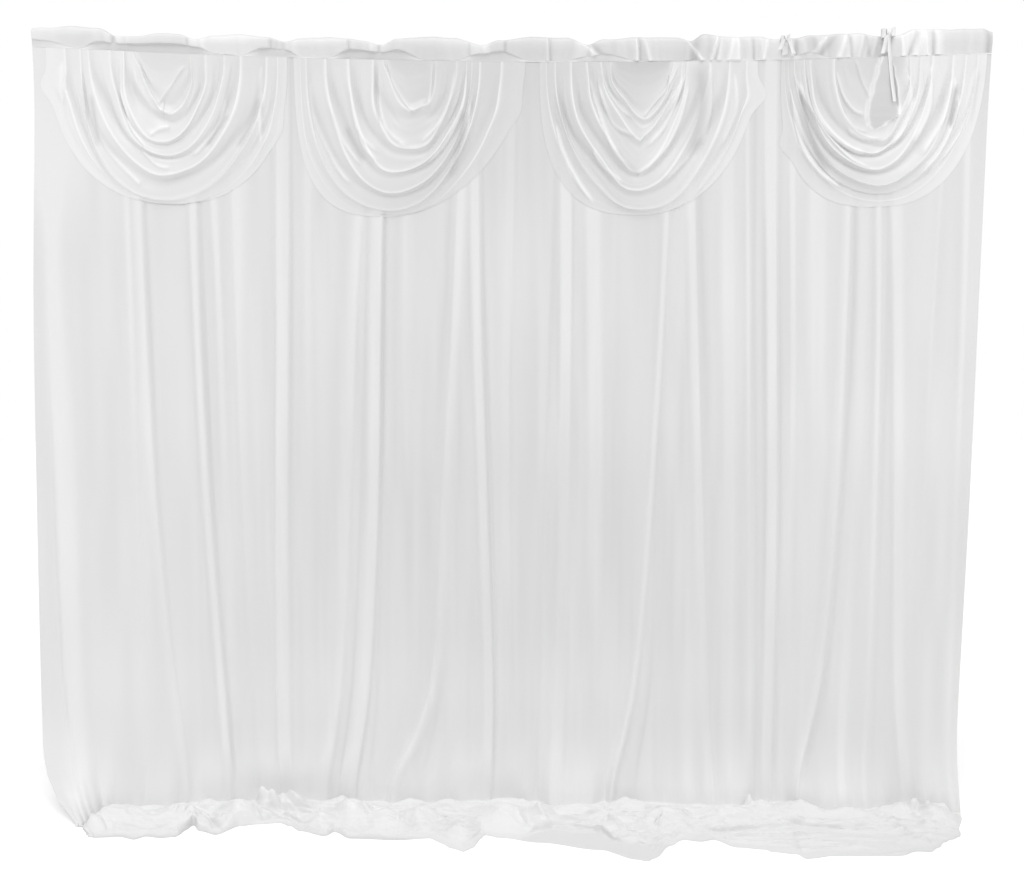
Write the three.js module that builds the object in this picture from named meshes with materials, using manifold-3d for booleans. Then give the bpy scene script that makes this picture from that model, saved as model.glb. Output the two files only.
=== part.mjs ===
// A swagged backdrop curtain, 3 m wide: one large panel that hangs from a pole pocket and lies
// in folds on the floor, four satin swags sewn under the pocket, and two ties round it.
// Millimetres, +Z up. X runs along the curtain and the front faces -Y. Heights are worked out
// from the floor, and the finished group is lowered so that the origin is the middle of the
// pole's channel.
import * as THREE from 'three';
import { mergeVertices } from 'three/addons/utils/BufferGeometryUtils.js';
import Module from 'manifold-3d';

// ---------------------------------------------------------------- driving sizes
const HALF_WIDTH = 1500;          // half of the width along the pocket
const POLE_HEIGHT = 2420;         // middle of the pole's channel above the floor
const SEAM_HEIGHT = 2386;         // height of the seam under the pocket, at the middle
const SEAM_SAG = 36;              // the seam is this much higher at its ends
const SEAM_TILT = 11;             // and its left end is this much higher again, its right lower
const CLOTH = 2;                  // thickness of every sheet
const SEAM_GAP = 0.3;             // between pieces that are sewn together
const SEWN = 0.01;                // a point this close to the seam's height lies on the seam
const FRONT = new THREE.Vector3(0, -1, 0);

// ---------------------------------------------------------------- small helpers
const clamp = (value, low, high) => Math.min(high, Math.max(low, value));
const mix = (a, b, share) => a + (b - a) * share;
const smooth = (share) => {
  const s = clamp(share, 0, 1);
  return s * s * (3 - 2 * s);
};

// The named column of a table at a place between its rows, which are in order of `key`.
function along(rows, key, place, column) {
  const last = rows.length - 1;
  if (place <= rows[0][key]) return rows[0][column];
  if (place >= rows[last][key]) return rows[last][column];
  let row = 0;
  while (rows[row + 1][key] < place) row += 1;
  const share = (place - rows[row][key]) / (rows[row + 1][key] - rows[row][key]);
  return mix(rows[row][column], rows[row + 1][column], smooth(share));
}

// The list's value at a place between two of its entries, on a smooth curve through them.
function curveAt(list, place) {
  const last = list.length - 1;
  const spot = clamp(place, 0, last);
  const from = Math.min(Math.floor(spot), last - 1);
  const share = spot - from;
  const a = list[Math.max(from - 1, 0)];
  const b = list[from];
  const c = list[from + 1];
  const d = list[Math.min(from + 2, last)];
  const bend = (2 * a - 5 * b + 4 * c - d) * share * share + (3 * b - a - 3 * c + d) * share ** 3;
  return b + 0.5 * ((c - a) * share + bend);
}

const seamHeight = (x) => {
  const place = x / HALF_WIDTH;
  return SEAM_HEIGHT + SEAM_SAG * place ** 2 - SEAM_TILT * place;
};

// ---------------------------------------------------------------- sheets and tubes
// A closed sheet from rows of points on its front, which all have the same number of columns.
// The back lies `thick` behind the front. Cells right of column `turn` are split the other way.
function sheetGeometry(rows, { turn = Infinity, thick = CLOTH } = {}) {
  const columns = rows[0].length;
  const positions = [];
  const back = rows.map((row, r) => row.map((point, c) => {
    const up = rows[Math.max(r - 1, 0)][c];
    const down = rows[Math.min(r + 1, rows.length - 1)][c];
    const left = row[Math.max(c - 1, 0)];
    const right = row[Math.min(c + 1, columns - 1)];
    const across = right.clone().sub(left);
    const upward = up.clone().sub(down);
    const sewn = Math.abs(point.z - seamHeight(point.x)) < SEWN;
    const normal = sewn ? FRONT.clone() : across.cross(upward).normalize();
    return point.clone().addScaledVector(normal, -thick);
  }));
  for (const side of [rows, back]) {
    for (const row of side) {
      for (const point of row) positions.push(point.x, point.y, point.z);
    }
  }
  const front = (r, c) => r * columns + c;
  const rear = (r, c) => rows.length * columns + front(r, c);
  const faces = [];
  const quad = (a, b, c, d) => faces.push(a, b, c, a, c, d);
  const lastRow = rows.length - 1;
  const lastColumn = columns - 1;
  for (let r = 0; r < lastRow; r += 1) {
    for (let c = 0; c < lastColumn; c += 1) {
      if (c < turn) {
        quad(front(r, c), front(r + 1, c), front(r + 1, c + 1), front(r, c + 1));
        quad(rear(r, c), rear(r, c + 1), rear(r + 1, c + 1), rear(r + 1, c));
      } else {
        quad(front(r + 1, c), front(r + 1, c + 1), front(r, c + 1), front(r, c));
        quad(rear(r, c + 1), rear(r + 1, c + 1), rear(r + 1, c), rear(r, c));
      }
    }
  }
  for (let c = 0; c < lastColumn; c += 1) {
    quad(front(0, c), front(0, c + 1), rear(0, c + 1), rear(0, c));
    quad(front(lastRow, c), rear(lastRow, c), rear(lastRow, c + 1), front(lastRow, c + 1));
  }
  for (let r = 0; r < lastRow; r += 1) {
    quad(front(r, 0), rear(r, 0), rear(r + 1, 0), front(r + 1, 0));
    quad(front(r, lastColumn), front(r + 1, lastColumn), rear(r + 1, lastColumn), rear(r, lastColumn));
  }
  return indexedGeometry(positions, faces);
}

// An open tube from stations along it, each with an outer and an inner ring of points.
function sleeveGeometry(stations) {
  const around = stations[0].outer.length;
  const positions = [];
  for (const station of stations) {
    for (const point of [...station.outer, ...station.inner]) positions.push(point.x, point.y, point.z);
  }
  const outer = (s, k) => s * 2 * around + (k % around);
  const inner = (s, k) => outer(s, k) + around;
  const faces = [];
  const quad = (a, b, c, d) => faces.push(a, b, c, a, c, d);
  const last = stations.length - 1;
  for (let k = 0; k < around; k += 1) {
    for (let s = 0; s < last; s += 1) {
      quad(outer(s, k), outer(s + 1, k), outer(s + 1, k + 1), outer(s, k + 1));
      quad(inner(s, k), inner(s, k + 1), inner(s + 1, k + 1), inner(s + 1, k));
    }
    quad(outer(0, k), outer(0, k + 1), inner(0, k + 1), inner(0, k));
    quad(outer(last, k), inner(last, k), inner(last, k + 1), outer(last, k + 1));
  }
  return indexedGeometry(positions, faces);
}

function indexedGeometry(positions, faces) {
  const geometry = new THREE.BufferGeometry();
  geometry.setAttribute('position', new THREE.Float32BufferAttribute(positions, 3));
  geometry.setIndex(faces);
  geometry.computeVertexNormals();
  return geometry;
}

// ---------------------------------------------------------------- the panel
// Its folds, from left to right. `x` is where the crest runs and `relief` how far it stands out,
// each at the heights in PANEL_LEVELS; `left` and `right` are how far its two flanks reach.
const PANEL_LEVELS = [2390, 1650, 1000, 340, 40];
const PANEL_FOLDS = [
  { x: [-1450, -1455, -1440, -1435, -1410], relief: [22, 26, 30, 30, 30], left: 30, right: 55 },
  { x: [-1225, -1235, -1240, -1220, -1195], relief: [20, 14, 4, 2, 2], left: 22, right: 20 },
  { x: [-1190, -1170, -1145, -1105, -1065], relief: [22, 22, 16, 8, 14], left: 30, right: 12 },
  { x: [-1015, -1005, -985, -965, -945], relief: [26, 26, 24, 20, 18], left: 34, right: 12 },
  { x: [-960, -940, -915, -895, -865], relief: [16, 16, 6, 4, 4], left: 20, right: 22 },
  { x: [-885, -870, -850, -820, -800], relief: [12, 16, 10, 4, 8], left: 14, right: 70 },
  { x: [-720, -730, -740, -750, -745], relief: [22, 22, 20, 12, 14], left: 30, right: 32 },
  { x: [-445, -505, -515, -565, -615], relief: [18, 16, 12, 18, 26], left: 34, right: 14 },
  { x: [-410, -425, -440, -475, -530], relief: [30, 30, 28, 20, 26], left: 44, right: 10 },
  { x: [-145, -175, -220, -270, -395], relief: [18, 18, 6, 16, 30], left: 14, right: 30 },
  { x: [-120, -120, -95, -75, -85], relief: [28, 28, 20, 16, 16], left: 20, right: 12 },
  { x: [165, 170, 160, 155, 125], relief: [22, 18, 4, 4, 12], left: 12, right: 30 },
  { x: [250, 255, 270, 255, 240], relief: [18, 20, 10, 4, 4], left: 34, right: 40 },
  { x: [500, 495, 450, 400, 330], relief: [22, 20, 14, 18, 28], left: 14, right: 44 },
  { x: [555, 580, 610, 630, 650], relief: [26, 24, 14, 8, 8], left: 34, right: 12 },
  { x: [810, 825, 835, 835, 830], relief: [32, 30, 24, 16, 12], left: 20, right: 20 },
  { x: [880, 895, 905, 895, 885], relief: [18, 16, 6, 2, 2], left: 16, right: 16 },
  { x: [1065, 1070, 1060, 1015, 940], relief: [22, 20, 10, 16, 26], left: 30, right: 14 },
  { x: [1150, 1170, 1170, 1165, 1145], relief: [20, 20, 16, 8, 8], left: 30, right: 12 },
  { x: [1200, 1225, 1250, 1260, 1290], relief: [20, 20, 22, 14, 18], left: 16, right: 44 },
  { x: [1435, 1435, 1435, 1430, 1425], relief: [22, 16, 8, 8, 8], left: 18, right: 14 },
];
const PANEL_SIDES = {
  left: [-1500, -1526, -1537, -1543, -1500],
  right: [1500, 1490, 1480, 1465, 1460],
};
const FOOT = [1.5, 0.35];         // a fold's foot: flank widths from the crest, or share of the gap
const WIDE_GAP = 120;             // a gap wider than this gets one more column of points
const GATHER_DROP = 260;          // the folds grow to their full relief this far below the seam
const MERGE_POWER = 3;            // folds that run together add up this gently
const SEAM_RELIEF = 0.06;         // the share of its relief that a fold has at the seam
const PANEL_ROWS = [2230, 1980, 1650, 1260, 860, 450, 180];

// Lower down, the panel turns forward onto the floor. `reach` is how far its hem lies in front.
const FRONT_EDGE = [
  { x: -1500, reach: 245 }, { x: -1390, reach: 300 }, { x: -1180, reach: 312 },
  { x: -1080, reach: 290 }, { x: -1030, reach: 205 }, { x: -980, reach: 285 },
  { x: -900, reach: 270 }, { x: -815, reach: 180 }, { x: -700, reach: 210 },
  { x: -610, reach: 285 }, { x: -540, reach: 310 }, { x: -370, reach: 315 },
  { x: -220, reach: 330 }, { x: -145, reach: 415 }, { x: -85, reach: 290 },
  { x: -20, reach: 325 }, { x: 245, reach: 400 }, { x: 425, reach: 485 },
  { x: 500, reach: 360 }, { x: 550, reach: 310 }, { x: 720, reach: 385 },
  { x: 810, reach: 420 }, { x: 850, reach: 480 }, { x: 1000, reach: 440 },
  { x: 1220, reach: 440 }, { x: 1320, reach: 410 }, { x: 1430, reach: 310 },
  { x: 1470, reach: 210 },
];
// Rolls and lumps of the cloth on the floor: where each lies, how far it spreads and its height.
const LUMPS = [
  { x: -1300, forward: 150, wide: 150, deep: 95, high: 62 },
  { x: -1080, forward: 165, wide: 80, deep: 90, high: 55 },
  { x: -900, forward: 150, wide: 75, deep: 90, high: 66 },
  { x: -810, forward: 70, wide: 45, deep: 45, high: 72 },
  { x: -690, forward: 85, wide: 70, deep: 40, high: 60 },
  { x: -620, forward: 190, wide: 60, deep: 70, high: 42 },
  { x: -520, forward: 140, wide: 70, deep: 90, high: 68 },
  { x: -410, forward: 190, wide: 75, deep: 80, high: 48 },
  { x: -290, forward: 180, wide: 60, deep: 90, high: 42 },
  { x: -160, forward: 270, wide: 55, deep: 90, high: 46 },
  { x: -30, forward: 165, wide: 85, deep: 95, high: 62 },
  { x: 90, forward: 150, wide: 50, deep: 70, high: 46 },
  { x: 210, forward: 120, wide: 95, deep: 50, high: 34 },
  { x: 340, forward: 220, wide: 60, deep: 80, high: 38 },
  { x: 490, forward: 180, wide: 95, deep: 75, high: 48 },
  { x: 700, forward: 140, wide: 110, deep: 55, high: 48 },
  { x: 810, forward: 105, wide: 50, deep: 50, high: 50 },
  { x: 925, forward: 95, wide: 80, deep: 50, high: 62 },
  { x: 1070, forward: 130, wide: 90, deep: 55, high: 46 },
  { x: 1240, forward: 95, wide: 60, deep: 50, high: 64 },
  { x: 1360, forward: 140, wide: 65, deep: 90, high: 54 },
];
const FLOOR_ROWS = [0.16, 0.32, 0.48, 0.66, 0.86, 1];         // shares of the reach
const LUMP_FALL = 1.2;            // how quickly a lump falls away beyond its width
const HEM_START = 0.8;            // past this share of the reach the cloth comes down to its hem
const TURN_RADIUS = 34;           // the bend where the panel meets the floor
const BEND_TURNS = [0, Math.PI / 4];   // the bend's rows, as angles round it
const FLOOR_CLOTH = 2.2;          // height of the cloth's upper face where it lies flat
const FLOOR_PULL = { left: 0.9, right: 0.955 };   // the hem is drawn in sideways to these shares

// The folds and the two edges as lines, from left to right, with the columns between them.
function panelColumns() {
  const columns = [{ x: PANEL_SIDES.left }];
  let before = PANEL_SIDES.left;
  let beforeFlank = 0;
  const between = (a, b, share) => a.map((value, level) => mix(value, b[level], share(level)));
  for (const fold of [...PANEL_FOLDS, { x: PANEL_SIDES.right, left: 0 }]) {
    const from = before;
    const flank = beforeFlank;
    const gap = (level) => fold.x[level] - from[level];
    const footShare = (width) => (level) => Math.min(FOOT[0] * width / gap(level), FOOT[1]);
    if (flank > 0) columns.push({ x: between(from, fold.x, footShare(flank)) });
    if (gap(1) > WIDE_GAP) columns.push({ x: between(from, fold.x, () => 0.5) });
    if (fold.left > 0) {
      const share = footShare(fold.left);
      columns.push({ x: between(from, fold.x, (level) => 1 - share(level)) });
    }
    columns.push({ x: fold.x });
    before = fold.x;
    beforeFlank = fold.right;
  }
  return columns;
}

// Where a height lies among PANEL_LEVELS, as a place in a fold's lists.
function levelAt(z) {
  let level = 0;
  while (level < PANEL_LEVELS.length - 2 && PANEL_LEVELS[level + 1] > z) level += 1;
  const span = PANEL_LEVELS[level] - PANEL_LEVELS[level + 1];
  return level + (PANEL_LEVELS[level] - z) / span;
}

// How far the panel's front stands forward at a place: the folds that reach there, merged.
function panelRelief(x, z) {
  const level = levelAt(z);
  let total = 0;
  for (const fold of PANEL_FOLDS) {
    const offset = x - curveAt(fold.x, level);
    const width = offset < 0 ? fold.left : fold.right;
    const forward = curveAt(fold.relief, level) * Math.exp(-((offset / width) ** 2));
    total += forward ** MERGE_POWER;
  }
  const growth = mix(SEAM_RELIEF, 1, smooth((seamHeight(x) - z) / GATHER_DROP));
  return growth * total ** (1 / MERGE_POWER);
}

// How high the cloth on the floor stands at a place: the highest lump that reaches there.
function lumpHeight(x, forward) {
  let height = 0;
  for (const lump of LUMPS) {
    const offset = Math.hypot((x - lump.x) / lump.wide, (forward - lump.forward) / lump.deep);
    height = Math.max(height, lump.high * Math.exp(-LUMP_FALL * offset ** 2));
  }
  return height;
}

// The panel's front: the seam, the hanging rows, the bend at the floor and the rows on the floor.
function panelRowsOfPoints() {
  const columns = panelColumns();
  const hangingPoint = (x, z) => new THREE.Vector3(x, -panelRelief(x, z), z);
  const rows = [columns.map(({ x: line }) => hangingPoint(line[0], seamHeight(line[0])))];
  for (const z of PANEL_ROWS) {
    rows.push(columns.map(({ x: line }) => hangingPoint(curveAt(line, levelAt(z)), z)));
  }
  const bendStart = TURN_RADIUS + FLOOR_CLOTH;
  const foot = columns.map(({ x: line }) => {
    const x = curveAt(line, levelAt(bendStart));
    return { x, y: -panelRelief(x, bendStart) };
  });
  for (const angle of BEND_TURNS) {
    rows.push(foot.map(({ x, y }) => new THREE.Vector3(x, y - TURN_RADIUS * (1 - Math.cos(angle)),
      bendStart - TURN_RADIUS * Math.sin(angle))));
  }
  for (const share of FLOOR_ROWS) {
    rows.push(foot.map(({ x, y }) => {
      const reach = along(FRONT_EDGE, 'x', x, 'reach');
      const forward = mix(TURN_RADIUS - y, reach, share);
      const pull = mix(1, x < 0 ? FLOOR_PULL.left : FLOOR_PULL.right, smooth(share));
      const hem = 1 - smooth((share - HEM_START) / (1 - HEM_START));
      return new THREE.Vector3(x * pull, -forward, FLOOR_CLOTH + hem * lumpHeight(x, forward));
    }));
  }
  return rows;
}

// ---------------------------------------------------------------- the swags
// One row for each crest, from the inner edge to the hem: where it leaves the seam on the left
// and on the right, where its lowest point hangs and how far below the seam, how far it stands
// out there (`out`) and at its sides (`pleat`), and how full its curve is on the left and on the
// right: 2 is a quarter of an ellipse, less is more pointed and more is squarer.
const SWAGS = [
  {
    name: 'swag_1',
    crests: [
      { left: -1168, right: -1015, low: -1080, drop: 0, out: 0, pleat: 0, fullLeft: 2, fullRight: 2 },
      { left: -1177, right: -1005, low: -1050, drop: 192, out: 10, pleat: 8, fullLeft: 1.9, fullRight: 1.9 },
      { left: -1195, right: -960, low: -1060, drop: 285, out: 16, pleat: 10, fullLeft: 2.3, fullRight: 2.1 },
      { left: -1271, right: -864, low: -1060, drop: 380, out: 22, pleat: 14, fullLeft: 2, fullRight: 2 },
      { left: -1331, right: -780, low: -1065, drop: 452, out: 24, pleat: 20, fullLeft: 2.2, fullRight: 2 },
      { left: -1403, right: -738, low: -1065, drop: 462, out: 12, pleat: 16, fullLeft: 2.3, fullRight: 2.2 },
      { left: -1468, right: -706, low: -1068, drop: 470, out: 0, pleat: 2, fullLeft: 2.4, fullRight: 2.3 },
    ],
  },
  {
    name: 'swag_2',
    crests: [
      { left: -392, right: -254, low: -318, drop: 0, out: 0, pleat: 0, fullLeft: 2, fullRight: 2 },
      { left: -403, right: -246, low: -316, drop: 160, out: 10, pleat: 8, fullLeft: 1.7, fullRight: 2.2 },
      { left: -428, right: -174, low: -346, drop: 277, out: 15, pleat: 10, fullLeft: 2.6, fullRight: 2 },
      { left: -513, right: -133, low: -352, drop: 355, out: 20, pleat: 14, fullLeft: 2.1, fullRight: 2 },
      { left: -585, right: -118, low: -375, drop: 413, out: 20, pleat: 16, fullLeft: 2.4, fullRight: 2 },
      { left: -647, right: -80, low: -375, drop: 470, out: 24, pleat: 20, fullLeft: 2.3, fullRight: 2.2 },
      { left: -690, right: 42, low: -370, drop: 484, out: 0, pleat: 2, fullLeft: 3.1, fullRight: 1.9 },
    ],
  },
  {
    name: 'swag_3',
    crests: [
      { left: 328, right: 497, low: 408, drop: 0, out: 0, pleat: 0, fullLeft: 2, fullRight: 2 },
      { left: 318, right: 503, low: 398, drop: 175, out: 10, pleat: 7, fullLeft: 1.7, fullRight: 1.6 },
      { left: 293, right: 528, low: 390, drop: 246, out: 15, pleat: 10, fullLeft: 1.7, fullRight: 1.6 },
      { left: 255, right: 545, low: 392, drop: 347, out: 20, pleat: 13, fullLeft: 1.9, fullRight: 1.6 },
      { left: 187, right: 622, low: 410, drop: 394, out: 18, pleat: 15, fullLeft: 2, fullRight: 1.9 },
      { left: 132, right: 690, low: 408, drop: 462, out: 24, pleat: 20, fullLeft: 2.1, fullRight: 2 },
      { left: 84, right: 772, low: 405, drop: 482, out: 0, pleat: 2, fullLeft: 2.8, fullRight: 2.1 },
    ],
  },
  {
    name: 'swag_4',
    crests: [
      { left: 1058, right: 1232, low: 1140, drop: 0, out: 0, pleat: 0, fullLeft: 2, fullRight: 2 },
      { left: 1011, right: 1252, low: 1122, drop: 267, out: 14, pleat: 10, fullLeft: 2.2, fullRight: 1.9 },
      { left: 940, right: 1312, low: 1114, drop: 308, out: 16, pleat: 14, fullLeft: 1.9, fullRight: 2 },
      { left: 915, right: 1381, low: 1148, drop: 359, out: 20, pleat: 18, fullLeft: 1.9, fullRight: 1.9 },
      { left: 882, right: 1410, low: 1140, drop: 412, out: 20, pleat: 18, fullLeft: 1.9, fullRight: 2 },
      { left: 862, right: 1462, low: 1148, drop: 453, out: 22, pleat: 20, fullLeft: 2.1, fullRight: 2.1 },
      { left: 844, right: 1494, low: 1150, drop: 468, out: 0, pleat: 2, fullLeft: 2.8, fullRight: 2.3 },
    ],
  },
];
const SWAG_STAND = 6;             // the swags' front at the seam, ahead of the panel's
const SWAG_BELLY = 44;            // how much further forward a swag's cloth hangs, low down
const SWAG_BELLY_DROP = 120;      // over this drop
const HEM_TUCK = 14;              // the hem swings back towards the panel
const PLEAT_SHARE = 0.3;          // of its relief that a crest keeps where it meets the seam
const PLEAT_DROP = 110;           // a crest has its full relief this far below the seam
const VALLEY = { side: 0.72, low: 0.34 };   // where the hollow lies between two crests
const SWAG_RELIEF = 24;           // the most that any crest stands out
const SWAG_COLUMNS = 12;

// A point on a swag's front. `crest` counts crests from the inner edge, and `turn` runs from
// 0 at the left end of the curve to 1 at the right.
function swagPoint(swag, crest, turn) {
  const value = (column) => curveAt(swag.crests.map((row) => row[column]), crest);
  const side = Math.cos(Math.PI * turn);
  const lowness = Math.sin(Math.PI * turn);
  const power = 2 / value(side > 0 ? 'fullLeft' : 'fullRight');
  const low = value('low');
  const end = value(side > 0 ? 'left' : 'right');
  const x = low + (end - low) * Math.abs(side) ** power;
  const fall = value('drop') * lowness ** power;
  const from = Math.min(Math.floor(crest), swag.crests.length - 2);
  const share = crest - from;
  const hollow = mix(VALLEY.side, VALLEY.low, lowness);
  const near = swag.crests[share < hollow ? from : from + 1];
  const slope = share < hollow ? 1 - share / hollow : (share - hollow) / (1 - hollow);
  const stand = mix(near.pleat, near.out, lowness ** 2);
  const relief = stand * smooth(slope) * mix(PLEAT_SHARE, 1, smooth(fall / PLEAT_DROP));
  const belly = SWAG_BELLY * smooth(fall / SWAG_BELLY_DROP);
  const tuck = HEM_TUCK * smooth(crest - (swag.crests.length - 2)) * smooth(fall / PLEAT_DROP);
  const y = -(SWAG_STAND + belly + relief - tuck);
  return new THREE.Vector3(x, y, seamHeight(x) - fall);
}

function swagGeometry(swag) {
  const last = swag.crests.length - 1;
  const turns = Array.from({ length: SWAG_COLUMNS + 1 }, (_, column) => column / SWAG_COLUMNS);
  const rows = [];
  for (let crest = 0; crest <= last; crest += 1) {
    rows.push(turns.map((turn) => swagPoint(swag, crest, turn)));
    if (crest === last) continue;
    rows.push(turns.map((turn) => {
      const hollow = mix(VALLEY.side, VALLEY.low, Math.sin(Math.PI * turn));
      return swagPoint(swag, crest + hollow, turn);
    }));
  }
  return sheetGeometry(rows, { turn: SWAG_COLUMNS / 2 });
}

// ---------------------------------------------------------------- the pole pocket
// Places along the pocket: its height there, how far its front puffs out, and how far the puff
// droops towards the seam. Between two pinches the cloth is slack on the left and flat on the right.
const POCKET = [
  { x: -1500, high: 58, puff: 2, droop: 0 },
  { x: -1460, high: 60, puff: 5, droop: 0.2 },
  { x: -1355, high: 70, puff: 18, droop: 0.9 },
  { x: -1290, high: 66, puff: 12, droop: 0.4 },
  { x: -1237, high: 47, puff: 0, droop: 0 },
  { x: -1180, high: 48, puff: 5, droop: 0 },
  { x: -1100, high: 60, puff: 12, droop: 0.1 },
  { x: -989, high: 47, puff: 0, droop: 0 },
  { x: -930, high: 60, puff: 12, droop: 0.6 },
  { x: -850, high: 66, puff: 18, droop: 1 },
  { x: -775, high: 62, puff: 10, droop: 0.4 },
  { x: -708, high: 48, puff: 0, droop: 0 },
  { x: -660, high: 60, puff: 14, droop: 0.7 },
  { x: -580, high: 66, puff: 18, droop: 1 },
  { x: -500, high: 62, puff: 10, droop: 0.2 },
  { x: -407, high: 48, puff: 0, droop: 0 },
  { x: -360, high: 66, puff: 8, droop: 0.1 },
  { x: -270, high: 74, puff: 18, droop: 1 },
  { x: -180, high: 72, puff: 14, droop: 0.7 },
  { x: -90, high: 50, puff: 0, droop: 0 },
  { x: -40, high: 66, puff: 8, droop: 0.1 },
  { x: 60, high: 76, puff: 12, droop: 0.8 },
  { x: 170, high: 76, puff: 9, droop: 0.6 },
  { x: 235, high: 54, puff: 0, droop: 0 },
  { x: 290, high: 70, puff: 8, droop: 0.2 },
  { x: 400, high: 76, puff: 8, droop: 0.6 },
  { x: 510, high: 76, puff: 6, droop: 0.5 },
  { x: 556, high: 64, puff: 0, droop: 0 },
  { x: 600, high: 84, puff: 8, droop: 0.5 },
  { x: 770, high: 74, puff: 5, droop: 0.5 },
  { x: 826, high: 66, puff: 0, droop: 0 },
  { x: 878, high: 66, puff: 0, droop: 0 },
  { x: 930, high: 74, puff: 6, droop: 0.4 },
  { x: 1080, high: 78, puff: 6, droop: 0.5 },
  { x: 1145, high: 66, puff: 0, droop: 0 },
  { x: 1197, high: 66, puff: 0, droop: 0 },
  { x: 1260, high: 84, puff: 6, droop: 0.5 },
  { x: 1380, high: 80, puff: 6, droop: 0.4 },
  { x: 1470, high: 78, puff: 3, droop: 0.2 },
  { x: 1500, high: 66, puff: 0, droop: 0 },
];
// The pocket's cross-section, from the seam up the front, over the top and down the back:
// `depth` from the seam's plane, `level` as a share of the height, and how far a puff moves it.
const SECTION = [
  { depth: -13, level: 0, puff: 0, droop: 0 },
  { depth: -18, level: 0.16, puff: 0.1, droop: -0.04 },
  { depth: -20, level: 0.4, puff: 1, droop: -0.22 },
  { depth: -21, level: 0.7, puff: 0.9, droop: -0.06 },
  { depth: -14, level: 0.93, puff: 0.4, droop: 0 },
  { depth: 0, level: 1, puff: 0, droop: 0 },
  { depth: 14, level: 0.93, puff: 0, droop: 0 },
  { depth: 21, level: 0.68, puff: 0, droop: 0 },
  { depth: 19, level: 0.2, puff: 0, droop: 0 },
  { depth: 13, level: 0, puff: 0, droop: 0 },
];
const HALF_SECTION = 21;          // half of the section's depth
const POCKET_WALL = 2.3;          // thickness towards the middle: CLOTH where the wall slants

function pocketGeometry() {
  const stations = POCKET.map(({ x, high, puff, droop }) => {
    const base = seamHeight(x) + SEAM_GAP;
    const outer = SECTION.map((point) => new THREE.Vector3(x, point.depth - puff * point.puff,
      base + high * (point.level + droop * point.droop)));
    const centre = new THREE.Vector3(x, 0, base + high / 2);
    const inner = outer.map((point) => {
      const spoke = point.clone().sub(centre);
      return centre.clone().addScaledVector(spoke, 1 - POCKET_WALL / spoke.length());
    });
    return { outer, inner };
  });
  return sleeveGeometry(stations);
}

// ---------------------------------------------------------------- the ties
// Each is one ribbon: a strap up the front, over the top and down the back of the pocket where
// it is drawn in, a knot at the front of the top, and two free ends that hang from the knot.
const TIES = [
  {
    name: 'tie_1',
    x: 852,
    ends: [
      { side: -9, width: 12, lean: -10, length: 34 },
      { side: 9, width: 12, lean: 16, length: 46 },
    ],
  },
  {
    name: 'tie_2',
    x: 1171,
    ends: [
      { side: -9, width: 14, lean: -14, length: 60 },
      { side: 9, width: 18, lean: 12, length: 190 },
    ],
  },
];
const RIBBON = 1.6;               // thickness of the ribbon
const STRAP_WIDTH = 18;
const STRAP_CLEAR = 0.4;          // between the ribbon and the pocket
const STRAP_FOOT = 12;            // the strap's ends stop this far above the seam
const KNOT_LOBES = [              // half sizes, place from the pocket's middle line, and tilt
  { wide: 21, deep: 15, high: 17, forward: 21, level: 0.84, tilt: 0.35 },
  { wide: 13, deep: 13, high: 25, forward: 23, level: 0.78, tilt: -0.2 },
];
const KNOT_LEVEL = 0.72;          // the free ends start inside the knot at this level
const KNOT_FRONT = -30;           // how far forward they start
const KNOT_SIDES = { around: 8, over: 6 };
const END_CLEAR = 5;              // a hanging end stays this far ahead of the cloth behind it
const END_STEPS = 4;
const SAME_POINT = 1e-4;

// A solid length of the pocket's outer form, grown by `grow` all round.
function pocketCore(from, to, high, grow) {
  const ends = [from, to].map((x) => {
    const middle = seamHeight(x) + SEAM_GAP + high / 2;
    return SECTION.map((point) => {
      const spoke = new THREE.Vector3(0, point.depth, high * (point.level - 0.5));
      spoke.setLength(spoke.length() + grow);
      return new THREE.Vector3(x, spoke.y, middle + spoke.z);
    });
  });
  const around = SECTION.length;
  const positions = ends.flat().flatMap((point) => [point.x, point.y, point.z]);
  const faces = [];
  for (let k = 0; k < around; k += 1) {
    const next = (k + 1) % around;
    faces.push(k, around + k, around + next, k, around + next, next);
    if (k > 0 && k < around - 1) faces.push(0, k, k + 1, around, around + k + 1, around + k);
  }
  return solidOf(indexedGeometry(positions, faces));
}

// The strap: a band round the pocket, open below STRAP_FOOT.
function strapSolid(x, high) {
  const half = STRAP_WIDTH / 2;
  const beyond = STRAP_WIDTH;     // the cutting solids reach this far to each side
  const foot = new THREE.BoxGeometry(2 * beyond, 4 * HALF_SECTION, 2 * STRAP_FOOT);
  foot.translate(x, 0, seamHeight(x));
  return pocketCore(x - half, x + half, high, STRAP_CLEAR + RIBBON)
    .subtract(pocketCore(x - beyond, x + beyond, high, STRAP_CLEAR))
    .subtract(solidOf(foot));
}

// The knot: its lobes, cut away where the pocket passes behind them.
function knotSolid(x, high) {
  const beyond = 3 * KNOT_LOBES[0].wide;
  const lobes = KNOT_LOBES.map((lobe) => {
    const geometry = new THREE.SphereGeometry(1, KNOT_SIDES.around, KNOT_SIDES.over);
    geometry.scale(lobe.wide, lobe.deep, lobe.high);
    geometry.rotateY(lobe.tilt);
    geometry.translate(x, -lobe.forward, seamHeight(x) + high * lobe.level);
    return solidOf(geometry);
  });
  return lobes[0].add(lobes[1]).subtract(pocketCore(x - beyond, x + beyond, high, STRAP_CLEAR));
}

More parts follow.
